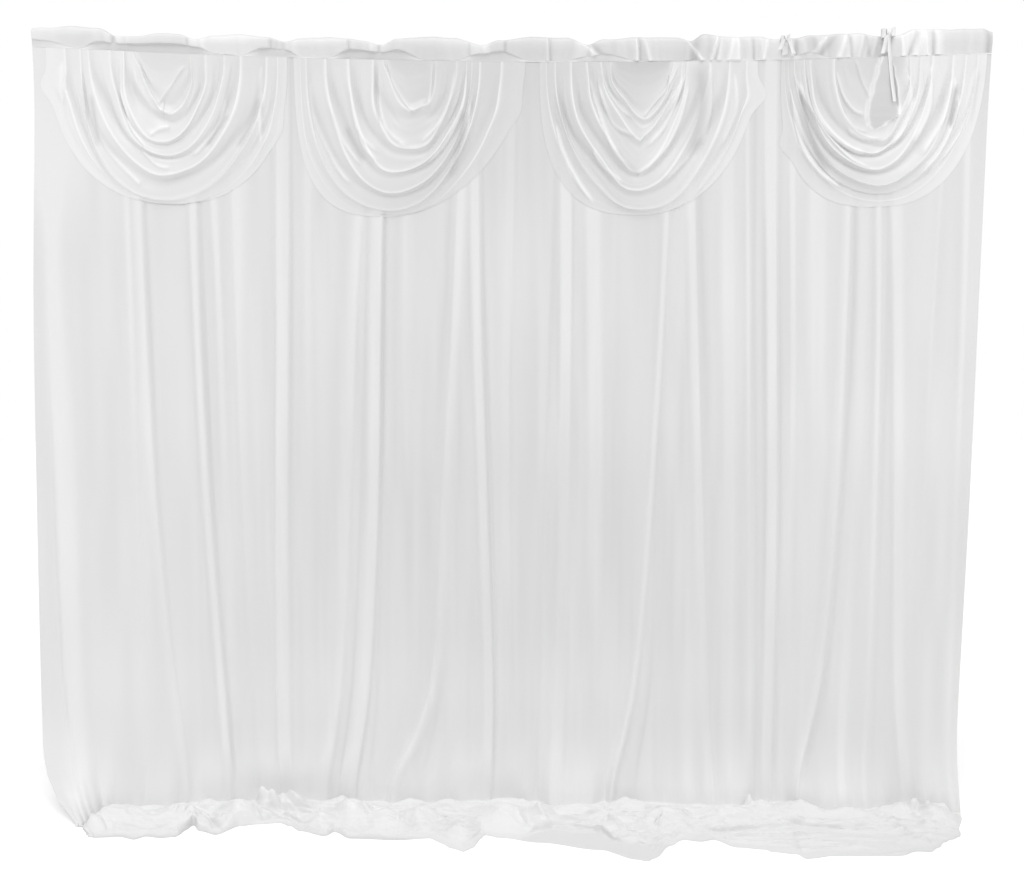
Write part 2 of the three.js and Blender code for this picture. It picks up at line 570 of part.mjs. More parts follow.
// A ribbon end: from inside the knot it hangs down ahead of the pocket and the swags' cloth.
function endGeometry(x, knotHeight, { side, width, lean, length }) {
  const rows = [];
  for (let step = 0; step <= END_STEPS; step += 1) {
    const share = step / END_STEPS;
    const z = knotHeight - share * length;
    const below = seamHeight(x) - z;
    const belly = SWAG_BELLY * smooth(below / SWAG_BELLY_DROP);
    const cloth = SWAG_STAND + belly + SWAG_RELIEF * smooth(below / PLEAT_DROP);
    const y = Math.min(KNOT_FRONT, -(cloth + END_CLEAR));
    const middle = x + side + lean * share;
    const half = width / 2;
    rows.push([-half, half].map((offset) => new THREE.Vector3(middle + offset, y, z)));
  }
  return sheetGeometry(rows, { thick: RIBBON });
}

// A manifold solid of a geometry. Points closer than SAME_POINT are one.
function solidOf(geometry) {
  const plain = geometry.clone();
  plain.deleteAttribute('normal');
  plain.deleteAttribute('uv');
  const merged = mergeVertices(plain, SAME_POINT);
  return new wasm.Manifold(new wasm.Mesh({
    numProp: 3,
    vertProperties: new Float32Array(merged.attributes.position.array),
    triVerts: new Uint32Array(merged.index.array),
  }));
}

function geometryOf(solid) {
  const mesh = solid.getMesh();
  return indexedGeometry(Array.from(mesh.vertProperties), Array.from(mesh.triVerts));
}

function tieGeometry(tie) {
  const high = along(POCKET, 'x', tie.x, 'high');
  const knotHeight = seamHeight(tie.x) + high * KNOT_LEVEL;
  let solid = strapSolid(tie.x, high).add(knotSolid(tie.x, high));
  for (const end of tie.ends) solid = solid.add(solidOf(endGeometry(tie.x, knotHeight, end)));
  return geometryOf(solid);
}

// ---------------------------------------------------------------- the group
const wasm = await Module();
wasm.setup();

const satin = { color: 0xf1f1f0, roughness: 0.38, metalness: 0 };
const voile = { color: 0xececec, roughness: 0.72, metalness: 0 };
const curtain = new THREE.Group();
curtain.position.z = -POLE_HEIGHT;

function addPiece(name, geometry, finish) {
  const mesh = new THREE.Mesh(geometry, new THREE.MeshStandardMaterial(finish));
  mesh.name = name;
  curtain.add(mesh);
}

addPiece('panel', sheetGeometry(panelRowsOfPoints()), voile);
addPiece('pole_pocket', pocketGeometry(), satin);
for (const swag of SWAGS) addPiece(swag.name, swagGeometry(swag), satin);
for (const tie of TIES) addPiece(tie.name, tieGeometry(tie), satin);

export default curtain;
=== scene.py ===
"""A swagged backdrop curtain: the cloth's fine shape and finish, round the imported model.

Sizes are in millimetres, with heights from the floor, until a mesh is made. The frame's origin
is the middle of the pole's channel, and the front faces -Y.
"""
import math

import bpy
import numpy as np
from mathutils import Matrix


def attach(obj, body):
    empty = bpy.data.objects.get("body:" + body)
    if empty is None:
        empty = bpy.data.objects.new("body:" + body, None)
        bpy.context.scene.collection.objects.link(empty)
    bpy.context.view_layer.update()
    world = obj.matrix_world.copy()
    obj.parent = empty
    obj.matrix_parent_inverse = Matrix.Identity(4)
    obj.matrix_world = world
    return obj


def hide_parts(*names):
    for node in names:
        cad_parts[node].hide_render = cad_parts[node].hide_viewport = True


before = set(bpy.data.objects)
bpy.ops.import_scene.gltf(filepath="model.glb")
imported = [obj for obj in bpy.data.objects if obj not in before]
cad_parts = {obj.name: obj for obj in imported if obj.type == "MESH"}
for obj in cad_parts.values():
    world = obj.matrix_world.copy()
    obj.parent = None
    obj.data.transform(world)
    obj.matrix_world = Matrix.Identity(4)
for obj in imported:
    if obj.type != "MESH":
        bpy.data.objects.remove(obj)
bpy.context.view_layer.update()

# ---------------------------------------------------------------- driving sizes
MM = 0.001
HALF_WIDTH = 1500          # half of the width along the pocket
POLE_HEIGHT = 2420         # middle of the pole's channel above the floor
SEAM_HEIGHT = 2386         # the seam under the pocket, at the middle
SEAM_SAG = 36              # the seam is this much higher at its ends
SEAM_TILT = 11             # and its left end is this much higher again, its right lower


# ---------------------------------------------------------------- small helpers
def mix(a, b, share):
    return a + (b - a) * share


def smooth(share):
    s = np.clip(share, 0, 1)
    return s * s * (3 - 2 * s)


def curve_at(values, place):
    """The values at places between them, on a smooth curve. Two dimensions: one curve a column."""
    values = np.asarray(values, float)
    last = len(values) - 1
    spot = np.clip(place, 0, last)
    start = np.minimum(np.floor(spot).astype(int), last - 1)
    share = spot - start

    def pick(index):
        index = np.clip(index, 0, last)
        return values[index] if values.ndim == 1 else values[index, np.arange(values.shape[1])]

    a, b, c, d = (pick(start + step) for step in (-1, 0, 1, 2))
    bend = (2 * a - 5 * b + 4 * c - d) * share ** 2 + (3 * b - a - 3 * c + d) * share ** 3
    return b + 0.5 * ((c - a) * share + bend)


def table(columns, rows):
    """A table's rows as dicts, each value under the name of its column."""
    return [dict(zip(columns.split(), row)) for row in rows]


def column(rows, key):
    return np.array([row[key] for row in rows], float)


def along(rows, key, place, name):
    """The named column of a table at places between its rows, eased. `key` is the places' column."""
    keys, values = column(rows, key), column(rows, name)
    spot = np.clip(place, keys[0], keys[-1])
    row = np.clip(np.searchsorted(keys, spot) - 1, 0, len(keys) - 2)
    share = (spot - keys[row]) / (keys[row + 1] - keys[row])
    return mix(values[row], values[row + 1], smooth(share))


def seam_height(x):
    place = x / HALF_WIDTH
    return SEAM_HEIGHT + SEAM_SAG * place ** 2 - SEAM_TILT * place


def fade_ends(share, reach, kept):
    """1 along the middle of a line, fading over `reach` at both ends. More is left with `kept`."""
    return smooth(share / reach + kept) * smooth((1 - share) / reach + kept)


def wander(rng, x, spacing, knots=400):
    """A smooth random line through values from -1 to 1, one every `spacing` along x."""
    values = rng.uniform(-1, 1, knots)
    return curve_at(values, np.asarray(x, float) / spacing + knots / 2)


def rumple(rng, x, y, wide, deep, size=160):
    """Smooth random heights from -1 to 1 over a surface, with bumps `wide` by `deep`."""
    values = rng.uniform(-1, 1, (size, size))
    u = np.clip(np.asarray(x) / wide + size / 2, 1, size - 3)
    v = np.clip(np.asarray(y) / deep + size / 2, 1, size - 3)
    i, j = np.floor(u).astype(int), np.floor(v).astype(int)
    s, t = smooth(u - i), smooth(v - j)
    low = mix(values[i, j], values[i + 1, j], s)
    high = mix(values[i, j + 1], values[i + 1, j + 1], s)
    return mix(low, high, t)


CRUMPLE = dict(aside=0.4, along=0.5, sharp=0.8)    # how far the ridges stray, and their shape


def crumple(rng, x, y, wide, deep):
    """Heights from -1 to 1 with sharp ridges between smooth hollows, as on crushed cloth."""
    shift = CRUMPLE["aside"] * wide * rumple(rng, x, y, wide, wide)
    field = rumple(rng, x + shift, y + CRUMPLE["along"] * shift, wide, deep)
    return 1 - 2 * np.abs(field) ** CRUMPLE["sharp"]


CREASE_STEPS = 24          # short straight lengths that stand for a crease
CREASE_ENDS = dict(reach=0.25, kept=0.15)          # how a crease fades out at its ends
CREASE_SLOPE = 1.3         # how squarely it falls away to its sides


def crease_height(crease, key, x, place):
    """How far a crease lifts the cloth at each point. Its table gives its run as x and `key`."""
    along_table = np.linspace(0, len(crease["x"]) - 1, CREASE_STEPS + 1)
    line_x, line_place = curve_at(crease["x"], along_table), curve_at(crease[key], along_table)
    nearest, side_of, along_line = np.full(x.shape, np.inf), np.zeros(x.shape), np.zeros(x.shape)
    for step in range(CREASE_STEPS):
        run_x, run_place = line_x[step + 1] - line_x[step], line_place[step + 1] - line_place[step]
        length = math.hypot(run_x, run_place)
        share = ((x - line_x[step]) * run_x + (place - line_place[step]) * run_place) / length ** 2
        share = np.clip(share, 0, 1)
        off_x = x - line_x[step] - share * run_x
        off_place = place - line_place[step] - share * run_place
        away = np.hypot(off_x, off_place)
        closer = away < nearest
        nearest = np.where(closer, away, nearest)
        side_of = np.where(closer, off_x * run_place - off_place * run_x, side_of)
        along_line = np.where(closer, (step + share) / CREASE_STEPS, along_line)
    width = np.where(side_of > 0, crease["left"], crease["right"])
    ends = fade_ends(along_line, **CREASE_ENDS)
    return crease["high"] * ends * np.exp(-(nearest / width) ** CREASE_SLOPE)


# ---------------------------------------------------------------- meshes
def add_object(name, data):
    """A new object in the scene, with the given mesh, light or camera."""
    new = bpy.data.objects.new(name, data)
    bpy.context.scene.collection.objects.link(new)
    return new


def grid_mesh(name, grids, layers_and_shade, material):
    """An object of one or more cloth grids, each rows by columns by xyz in mm, from the floor.

    `layers_and_shade` says for each point how far the cloth is gathered there, from 0, one layer, to 1,
    and also carries painted highlights and painted shade.
    """
    points, quads, uvs = [], [], []
    start = 0
    for grid in grids:
        rows, columns = grid.shape[:2]
        points.append(grid.reshape(-1, 3))
        index = start + np.arange(rows * columns).reshape(rows, columns)
        quads.append(np.stack([index[:-1, :-1], index[1:, :-1], index[1:, 1:], index[:-1, 1:]],
                              axis=-1).reshape(-1, 4))
        across = np.linalg.norm(np.diff(grid, axis=1), axis=2).mean(axis=0)
        down = np.linalg.norm(np.diff(grid, axis=0), axis=2).mean(axis=1)
        u = np.concatenate([[0], np.cumsum(across)])
        v = np.concatenate([[0], np.cumsum(down)])
        uvs.append(np.stack(np.meshgrid(u, v), axis=-1).reshape(-1, 2))
        start += rows * columns
    points = np.concatenate(points)
    points[:, 2] -= POLE_HEIGHT
    quads = np.concatenate(quads)
    mesh = bpy.data.meshes.new(name)
    mesh.from_pydata((points * MM).tolist(), [], quads.tolist())
    layer = mesh.uv_layers.new(name="cloth")
    layer.data.foreach_set("uv", (np.concatenate(uvs) * MM)[quads.reshape(-1)].reshape(-1))
    layer = mesh.attributes.new("layers_and_shade", "FLOAT", "POINT")
    layer.data.foreach_set("value", np.asarray(layers_and_shade, float).reshape(-1))
    mesh.shade_smooth()
    mesh.materials.append(material)
    return add_object(name, mesh)


# ---------------------------------------------------------------- materials
THREAD = {"Distortion": 0.6, "Detail": 1.0}        # the woven threads' waves
WEAVE_BUMP = 0.25                                  # and how strongly they show
SLUB_NOISE = {"Scale": 1.0, "Detail": 4.0}


def set_inputs(node, values):
    for name, value in values.items():
        node.inputs[name].default_value = value


def cloth_material(name, colour, roughness, sheen, weave, weave_depth, slub, gathered):
    """A woven cloth: two crossed sets of threads in the bump, and faint uneven threads.

    Its colour goes toward `gathered` with the layers_and_shade attribute: whiter where it lies in layers,
    and lighter or darker where that attribute paints highlights and shade.
    """
    material = bpy.data.materials.new(name)
    material.use_nodes = True
    nodes, links = material.node_tree.nodes, material.node_tree.links

    def add(kind, values=None, sources=None):
        """A node with the given input values, fed by the given outputs of other nodes."""
        node = nodes.new(kind)
        set_inputs(node, values or {})
        for socket, output in (sources or {}).items():
            links.new(output, node.inputs[socket])
        return node

    place = add("ShaderNodeUVMap")
    place.uv_map = "cloth"
    cross = add("ShaderNodeMath")
    cross.operation = "MAXIMUM"
    for direction, socket in zip(("X", "Y"), cross.inputs):
        wave = add("ShaderNodeTexWave", {"Scale": weave, **THREAD}, {"Vector": place.outputs["UV"]})
        wave.wave_type = "BANDS"
        wave.bands_direction = direction
        links.new(wave.outputs["Fac"], socket)
    stretch = add("ShaderNodeMapping", {"Scale": slub["scale"]}, {"Vector": place.outputs["UV"]})
    uneven = add("ShaderNodeTexNoise", SLUB_NOISE, {"Vector": stretch.outputs["Vector"]})
    dark = [channel * slub["dark"] for channel in colour]
    shade = add("ShaderNodeMixRGB", {"Color1": (*dark, 1), "Color2": (*colour, 1)},
                {"Fac": uneven.outputs["Fac"]})
    # painted light and shade: this attribute lightens and darkens the cloth's colour
    layers = add("ShaderNodeAttribute")
    layers.attribute_name = "layers_and_shade"
    finish = add("ShaderNodeMixRGB", {"Color2": (*gathered, 1)},
                 {"Fac": layers.outputs["Fac"], "Color1": shade.outputs["Color"]})
    slubs = add("ShaderNodeBump", {"Strength": slub["bump"], "Distance": slub["depth"]},
                {"Height": uneven.outputs["Fac"]})
    bump = add("ShaderNodeBump", {"Strength": WEAVE_BUMP, "Distance": weave_depth},
               {"Height": cross.outputs["Value"], "Normal": slubs.outputs["Normal"]})
    shader = nodes["Principled BSDF"]
    set_inputs(shader, {
        "Roughness": roughness, "Specular IOR Level": sheen["specular"],
        "Sheen Weight": sheen["weight"], "Sheen Roughness": sheen["roughness"],
    })
    links.new(finish.outputs["Color"], shader.inputs["Base Color"])
    links.new(bump.outputs["Normal"], shader.inputs["Normal"])
    return material


satin = cloth_material(
    "satin_cloth", (0.52, 0.52, 0.52), 0.42, dict(specular=0.5, weight=0.1, roughness=0.4),
    weave=700, weave_depth=0.00015, slub=dict(scale=(14, 5, 1), dark=0.97, bump=0.35, depth=0.002),
    gathered=(0.90, 0.90, 0.90),
)
voile = cloth_material(
    "voile_cloth", (0.61, 0.61, 0.61), 0.75, dict(specular=0.25, weight=0.2, roughness=0.5),
    weave=450, weave_depth=0.0002, slub=dict(scale=(22, 1.6, 1), dark=0.96, bump=0.3, depth=0.002),
    gathered=(0.75, 0.75, 0.75),
)

# ---------------------------------------------------------------- the panel
# Its folds, from left to right. `x` is where the crest runs and `relief` how far it stands out,
# each at the heights in PANEL_LEVELS; `flat` is half the width of its flat top, and `left` and
# `right` are how far its two flanks reach.
PANEL_LEVELS = np.array([2390, 1650, 1000, 340, 40], float)
PANEL_FOLDS = table("x relief flat left right", [
    ((-1450, -1455, -1440, -1435, -1410), (12, 14, 18, 20, 22), 14, 44, 40),
    ((-1225, -1215, -1215, -1205, -1195), (20, 14, 4, 2, 2), 2, 18, 10),
    ((-1190, -1172, -1155, -1105, -1065), (24, 24, 16, 8, 14), 3, 30, 7),
    ((-1013, -1005, -985, -950, -930), (28, 28, 24, 20, 18), 7, 12, 8),
    ((-960, -935, -925, -895, -865), (18, 16, 6, 4, 4), 5, 10, 12),
    ((-882, -875, -865, -840, -820), (16, 16, 8, 4, 8), 4, 8, 60),
    ((-722, -732, -745, -752, -748), (24, 24, 20, 14, 14), 16, 8, 12),
    ((-645, -650, -655, -655, -650), (10, 8, 2, 1, 1), 6, 10, 12),
    ((-455, -500, -530, -565, -612), (18, 16, 12, 18, 26), 3, 30, 12),
    ((-412, -430, -445, -480, -528), (28, 28, 26, 20, 22), 12, 26, 5),
    ((-332, -335, -340, -365, -450), (10, 8, 2, 1, 1), 8, 18, 18),
    ((-150, -180, -220, -262, -392), (18, 18, 6, 18, 30), 5, 8, 26),
    ((-120, -112, -92, -75, -80), (28, 28, 22, 18, 16), 10, 14, 6),
    ((5, -10, -20, -10, 10), (10, 9, 6, 2, 1), 6, 24, 6),
    ((168, 172, 165, 155, 140), (24, 20, 6, 6, 12), 14, 8, 9),
    ((250, 258, 268, 262, 245), (18, 20, 10, 4, 4), 14, 16, 22),
    ((500, 480, 448, 398, 328), (22, 20, 14, 18, 28), 4, 12, 8),
    ((558, 580, 605, 630, 650), (26, 24, 12, 8, 8), 8, 16, 6),
    ((680, 690, 700, 705, 705), (12, 12, 8, 4, 2), 12, 18, 14),
    ((740, 752, 765, 775, 780), (14, 14, 8, 3, 2), 2, 8, 9),
    ((812, 825, 838, 838, 835), (32, 30, 24, 16, 12), 14, 7, 7),
    ((880, 895, 905, 895, 868), (18, 16, 6, 2, 2), 5, 8, 8),
    ((965, 975, 985, 950, 893), (12, 11, 5, 2, 2), 14, 22, 22),
    ((1066, 1062, 1045, 1000, 925), (22, 18, 10, 16, 26), 4, 20, 8),
    ((1115, 1118, 1110, 1085, 1075), (10, 9, 4, 10, 18), 8, 14, 14),
    ((1152, 1168, 1172, 1165, 1150), (20, 20, 14, 8, 8), 4, 12, 8),
    ((1202, 1225, 1245, 1262, 1290), (20, 22, 22, 14, 18), 8, 12, 26),
    ((1370, 1345, 1330, 1330, 1330), (12, 6, 2, 1, 1), 2, 10, 10),
    ((1438, 1440, 1435, 1430, 1425), (22, 16, 8, 8, 8), 4, 14, 10),
])
# Narrow hollows beside the folds, where the cloth is drawn back.
PANEL_HOLLOWS = table("x depth width", [
    ((-1480, -1480, -1478, -1465, -1425), (0, 0, 10, 16, 16), 8),
    ((-1172, -1155, -1138, -1098, -1050), (8, 8, 8, 3, 0), 10),
    ((-995, -985, -965, -932, -912), (4, 8, 16, 14, 8), 11),
    ((-755, -760, -768, -775, -775), (8, 8, 6, 4, 2), 8),
    ((-695, -700, -712, -722, -720), (8, 8, 4, 2, 2), 8),
    ((-440, -465, -490, -525, -575), (2, 8, 12, 14, 10), 9),
    ((-392, -408, -420, -440, -470), (12, 12, 14, 8, 4), 10),
    ((-178, -212, -250, -235, -300), (10, 10, 8, 8, 4), 14),
    ((-95, -88, -68, -55, -62), (10, 10, 12, 8, 6), 9),
    ((-15, -5, 0, 10, 30), (0, 4, 5, 2, 0), 7),
    ((142, 128, 105, 90, 80), (10, 10, 8, 4, 2), 12),
    ((198, 192, 185, 180, 170), (8, 6, 3, 2, 2), 8),
    ((520, 470, 470, 450, 400), (4, 6, 10, 12, 6), 12),
    ((582, 610, 640, 660, 680), (12, 12, 8, 4, 2), 22),
    ((766, 772, 790, 800, 800), (10, 10, 12, 10, 4), 12),
    ((845, 858, 868, 868, 865), (10, 12, 12, 6, 4), 9),
    ((1085, 1088, 1068, 1025, 955), (12, 12, 12, 12, 8), 14),
    ((1180, 1195, 1195, 1190, 1180), (4, 6, 8, 6, 2), 14),
])
# The panel's two sides, x at the same heights.
PANEL_SIDES = dict(left=(-1500, -1526, -1537, -1543, -1540), right=(1500, 1490, 1480, 1465, 1460))
GATHER_DROP = 980          # the folds grow to their full relief this far below the seam
MERGE_POWER = 3            # folds that run together add up this gently
FOLD_SLOPE = 1.7           # how squarely a fold's flanks fall away
RELIEF_SCALE = 0.56        # on the relief and the depth of every fold
HOLLOW_WIDE = 0.62         # on the width of every hollow
HOLLOW_DEEP = 0.55         # and on its depth
SEAM_RELIEF = 0.06         # the share of its relief that a fold has at the seam
SEAM_FORWARD = dict(out=14, fade=110, slope=1.5)    # the panel leaves the pocket's front foot there
COLUMN_STEP = 6.2          # between the mesh's columns
CLOSEST = 2                # no two lines of the folds' edges come closer
FLANK = 0.9                # a column runs at this share of each flank
HANGING_ROWS = 56          # the mesh's rows above the floor
ROW_SPREAD = 1.15          # they are closer together near the seam
BEND_ROWS = 5
FLOOR_ROWS = 120
LEVEL_EASE = 220           # the folds' lines are eased this far above and below each level
LEVEL_SAMPLES = 9

# How gathered the cloth is at each place, from 0, a single layer, to 1, many layers, with painted
# light and shade mixed in: `hollow` is the painted shade in the hollows.
PANEL_LAYERS_AND_SHADE = dict(hollow=0.2, tongue=0.58)
FOLD_FULL = 18             # a fold with this much relief is many layers of cloth, lighter partly for that, partly as painted highlight
FOLD_EDGE = 0.6            # and it ends at this share of its flanks
HOLLOW_SHADE_FULL = 12           # a hollow this deep gets the full painted shade
LUMP_LIGHT_AND_SHADE = dict(more=0.22, full=50, flat=0.4)     # the lumps on the floor get a painted highlight as they rise, the low cloth painted shade
# The faces between the folds have painted shade halfway up the curtain, darker than above and below, and
# `middle` is darker than `side`; there the folds are flatter: `fold` is how much lighter they are, partly
# for their layers and partly as painted highlight, and `relief` the share of their relief, at each height
# `z`.
FACE_SHADE_AND_RELIEF = table("z middle side fold relief", [
    (0, 0.66, 0.6, 0.3, 0.9), (150, 0.6, 0.54, 0.3, 0.9), (330, 0.46, 0.54, 0.26, 0.75),
    (600, 0.22, 0.45, 0.26, 0.65), (1000, 0.22, 0.47, 0.32, 0.7), (1350, 0.41, 0.58, 0.42, 0.9),
    (1700, 0.54, 0.64, 0.44, 1), (2400, 0.6, 0.72, 0.44, 1),
])
PANEL_SIDE_LIGHT = dict(start=0.1, slope=1.1)        # the darker `middle` passes to the lighter `side` outward from the middle, as painted shade
# Near the floor: how much lighter, or darker, the hanging cloth is, as painted light and shade on its
# folds there, and how gathered the cloth that lies in front of it is.
LOW_LAYERS_AND_SHADE = table("x more lying", [
    (-1540, -0.42, 0.8), (-1450, -0.32, 0.84), (-1400, 0.2, 0.86), (-1330, 0.15, 0.88),
    (-1250, 0.02, 0.88), (-1100, 0, 0.88), (-1010, 0.7, 0.85), (-900, 0.8, 0.76), (-700, 0.8, 0.78),
    (-590, 0.85, 0.82), (-440, 0.4, 0.8), (-300, 0.4, 0.8), (-150, 0.8, 0.82), (0, 0.7, 0.84),
    (60, 0.3, 0.82), (210, 0.6, 0.8), (300, 0.65, 0.8), (400, 0.4, 0.78), (500, 0.33, 0.8),
    (650, 0.33, 0.8), (780, 0.4, 0.78), (900, 0.36, 0.76), (1000, 0.05, 0.76), (1150, 0.12, 0.74),
    (1300, -0.05, 0.72), (1470, -0.1, 0.7),
])
LOW_TOP = 260              # the first begins this far above the floor
LOW_HOLLOW_SHADE = 0.25         # the hollows' painted shade fades out below that, and keeps a little at the floor
FLOOR_FADE = 60            # and the hanging cloth becomes like the lying cloth over this height
# Painted shade, or painted light, on the panel beside the swags.
TOP_SHADE = table("x more", [
    (-1540, 0.3), (-1450, 0.2), (-1350, 0), (-800, 0), (-740, -0.2), (-640, -0.1), (-250, 0),
    (-110, -0.3), (60, -0.32), (130, -0.15), (300, 0), (1380, 0), (1440, -0.1), (1500, -0.25),
])
TOP_FOOT = dict(start=1800, full=2150)    # the heights from which that begins, and is full
PATCHES = table("wide deep share", [(34, 420, 0.13), (13, 300, 0.08)])    # soft, long upright patches
ROLL_UNDER_SHADE = dict(rows=12, less=0.7)           # the last rows, rolled under, get painted shade

# Lower down, the panel turns forward onto the floor. `reach` is how far its edge lies in front,
# and `roll` how far that edge is rolled under instead of lying flat.
FRONT_EDGE = table("x reach roll", [
    (-1540, 285, 0.6), (-1490, 302, 0.9), (-1440, 308, 1), (-1350, 304, 1), (-1290, 300, 1),
    (-1225, 322, 1), (-1195, 298, 1), (-1143, 310, 1), (-1095, 300, 1), (-1078, 250, 1), (-1065, 208, 1),
    (-1030, 255, 1), (-970, 285, 1), (-905, 215, 0.6), (-850, 200, 0.4), (-780, 190, 0.2),
    (-740, 215, 0.5), (-700, 255, 0.7), (-610, 295, 0.8), (-585, 262, 0.8), (-525, 314, 1),
    (-365, 325, 1), (-265, 312, 0.4), (-232, 345, 0.3), (-190, 390, 0.2), (-150, 415, 0.1),
    (-120, 380, 0.2), (-100, 318, 0.3), (-88, 288, 0.5), (-40, 308, 0.2), (85, 345, 0), (270, 400, 0),
    (380, 470, 0), (410, 485, 0), (435, 462, 0), (495, 370, 0.1), (540, 325, 0.4), (595, 338, 0.6),
    (635, 325, 0.3), (700, 382, 0.1), (785, 398, 0), (800, 416, 0), (875, 432, 0), (895, 468, 0),
    (920, 462, 0), (975, 446, 0.1), (1085, 444, 0.2), (1190, 444, 0.4), (1250, 412, 0.4),
    (1290, 415, 0.3), (1330, 385, 0.3), (1365, 345, 0.4), (1405, 322, 0.5), (1440, 302, 0.5),
    (1470, 258, 0.6),
])
# Rolls and lumps of the cloth on the floor: where each lies, how far it spreads and its height.
LUMPS = table("x forward wide deep high", [
    (-1300, 150, 150, 95, 34), (-1405, 205, 50, 55, 36), (-1080, 165, 80, 90, 38), (-995, 62, 42, 34, 24),
    (-900, 150, 75, 90, 58), (-812, 66, 30, 32, 68), (-782, 72, 26, 30, 62), (-1165, 95, 60, 40, 22),
    (-560, 48, 46, 30, 30), (-330, 55, 50, 30, 20), (-205, 60, 46, 32, 24), (-712, 76, 54, 36, 50),
    (-620, 190, 60, 70, 42), (-520, 140, 70, 90, 62), (-410, 190, 75, 80, 44), (-290, 180, 60, 90, 42),
    (-160, 270, 55, 90, 46), (-30, 165, 85, 95, 58), (-15, 55, 75, 34, 22), (375, 50, 70, 26, 28),
    (90, 150, 50, 70, 44), (210, 120, 95, 50, 30), (362, 205, 70, 70, 32), (490, 180, 95, 75, 44),
    (700, 140, 110, 55, 32), (810, 105, 50, 50, 36), (925, 95, 80, 50, 36), (1070, 130, 90, 55, 20),
    (1240, 95, 60, 50, 26), (768, 70, 16, 24, 46), (1292, 100, 22, 28, 44), (1340, 112, 24, 30, 38),
    (1360, 140, 65, 90, 36),
])
# Creases on the floor cloth: ridges (or troughs, with a height below 0) from one point to another.
CREASES = table("x forward high wide", [
    ((-1310, -1110), (215, 232), -9, 9), ((-1200, -1150), (120, 190), 12, 12),
    ((-1170, -990), (118, 150), 13, 10), ((-1160, -1010), (140, 175), -10, 9),
    ((-1130, -1060), (260, 250), 8, 8), ((-1010, -940), (150, 235), 12, 8),
    ((-1000, -960), (170, 250), -12, 7), ((-975, -900), (150, 240), 10, 8),
    ((-960, -880), (120, 150), 12, 10), ((-860, -780), (190, 130), -16, 9),
    ((-850, -750), (215, 175), 9, 8), ((-745, -620), (60, 110), 20, 10),
    ((-735, -630), (85, 135), -14, 8), ((-760, -700), (130, 190), 12, 9),
    ((-690, -590), (240, 275), 12, 7), ((-700, -640), (175, 180), 10, 9),
    ((-600, -560), (250, 280), -14, 8), ((-480, -440), (110, 170), 12, 9),
    ((-470, -400), (120, 105), 10, 8), ((-450, -360), (160, 150), -9, 8),
    ((-360, -320), (180, 300), 16, 10), ((-345, -300), (170, 290), -14, 8),
    ((-330, -280), (150, 280), 12, 9), ((-290, -230), (110, 200), 12, 8),
    ((-250, -190), (250, 170), 12, 9), ((-210, -110), (160, 205), -16, 8),
    ((-190, -100), (180, 215), 12, 8), ((-180, -120), (290, 340), 14, 9),
    ((-160, -80), (340, 300), -12, 8), ((-70, 10), (140, 240), 8, 12), ((20, 60), (150, 270), 10, 10),
    ((80, 110), (120, 210), 16, 10), ((100, 250), (225, 160), -14, 8), ((110, 260), (190, 130), 12, 8),
    ((60, 130), (260, 215), 14, 8), ((130, 280), (232, 262), 14, 8), ((280, 330), (262, 320), 16, 9),
    ((300, 400), (150, 320), 12, 8), ((360, 450), (130, 300), 12, 8), ((330, 420), (345, 350), -16, 9),
    ((400, 520), (180, 240), 10, 9), ((430, 480), (360, 420), 10, 9), ((560, 620), (200, 290), -16, 10),
    ((600, 800), (230, 240), 12, 8), ((610, 760), (255, 262), -14, 7), ((620, 1000), (280, 275), 11, 8),
    ((640, 980), (305, 300), -9, 7), ((660, 1010), (330, 325), 11, 8), ((700, 1060), (355, 350), -8, 7),
    ((720, 1100), (378, 372), 9, 8), ((760, 850), (175, 200), 10, 9), ((850, 930), (185, 190), 16, 10),
    ((880, 1150), (205, 232), -18, 8), ((900, 1160), (170, 205), 12, 9), ((980, 1210), (215, 190), 10, 8),
    ((1020, 1240), (250, 250), 10, 8), ((1060, 1250), (275, 290), -10, 8),
    ((950, 1230), (402, 395), -14, 9), ((1010, 1260), (418, 410), 12, 8),
    ((1130, 1290), (130, 190), 10, 8), ((1200, 1290), (170, 320), 12, 9),
    ((1290, 1350), (60, 150), 17, 7), ((1320, 1400), (60, 190), 15, 8), ((1360, 1420), (70, 120), 16, 7),
    ((1300, 1420), (200, 240), 10, 8), ((1280, 1400), (300, 330), -16, 9),
    ((1310, 1440), (260, 250), 10, 9),
])
CREASE_HIGH = 0.8          # on the height of every crease
CREASE_WIDE = 0.75         # and on its width
CREASE_BOW = 0.08          # it bows aside by this share of its length
FLOOR_CREASE = dict(reach=0.3, kept=0.3)  # how it fades out at its ends
FLOOR_CREASE_SLOPE = 1.4   # and how squarely it falls away to its sides
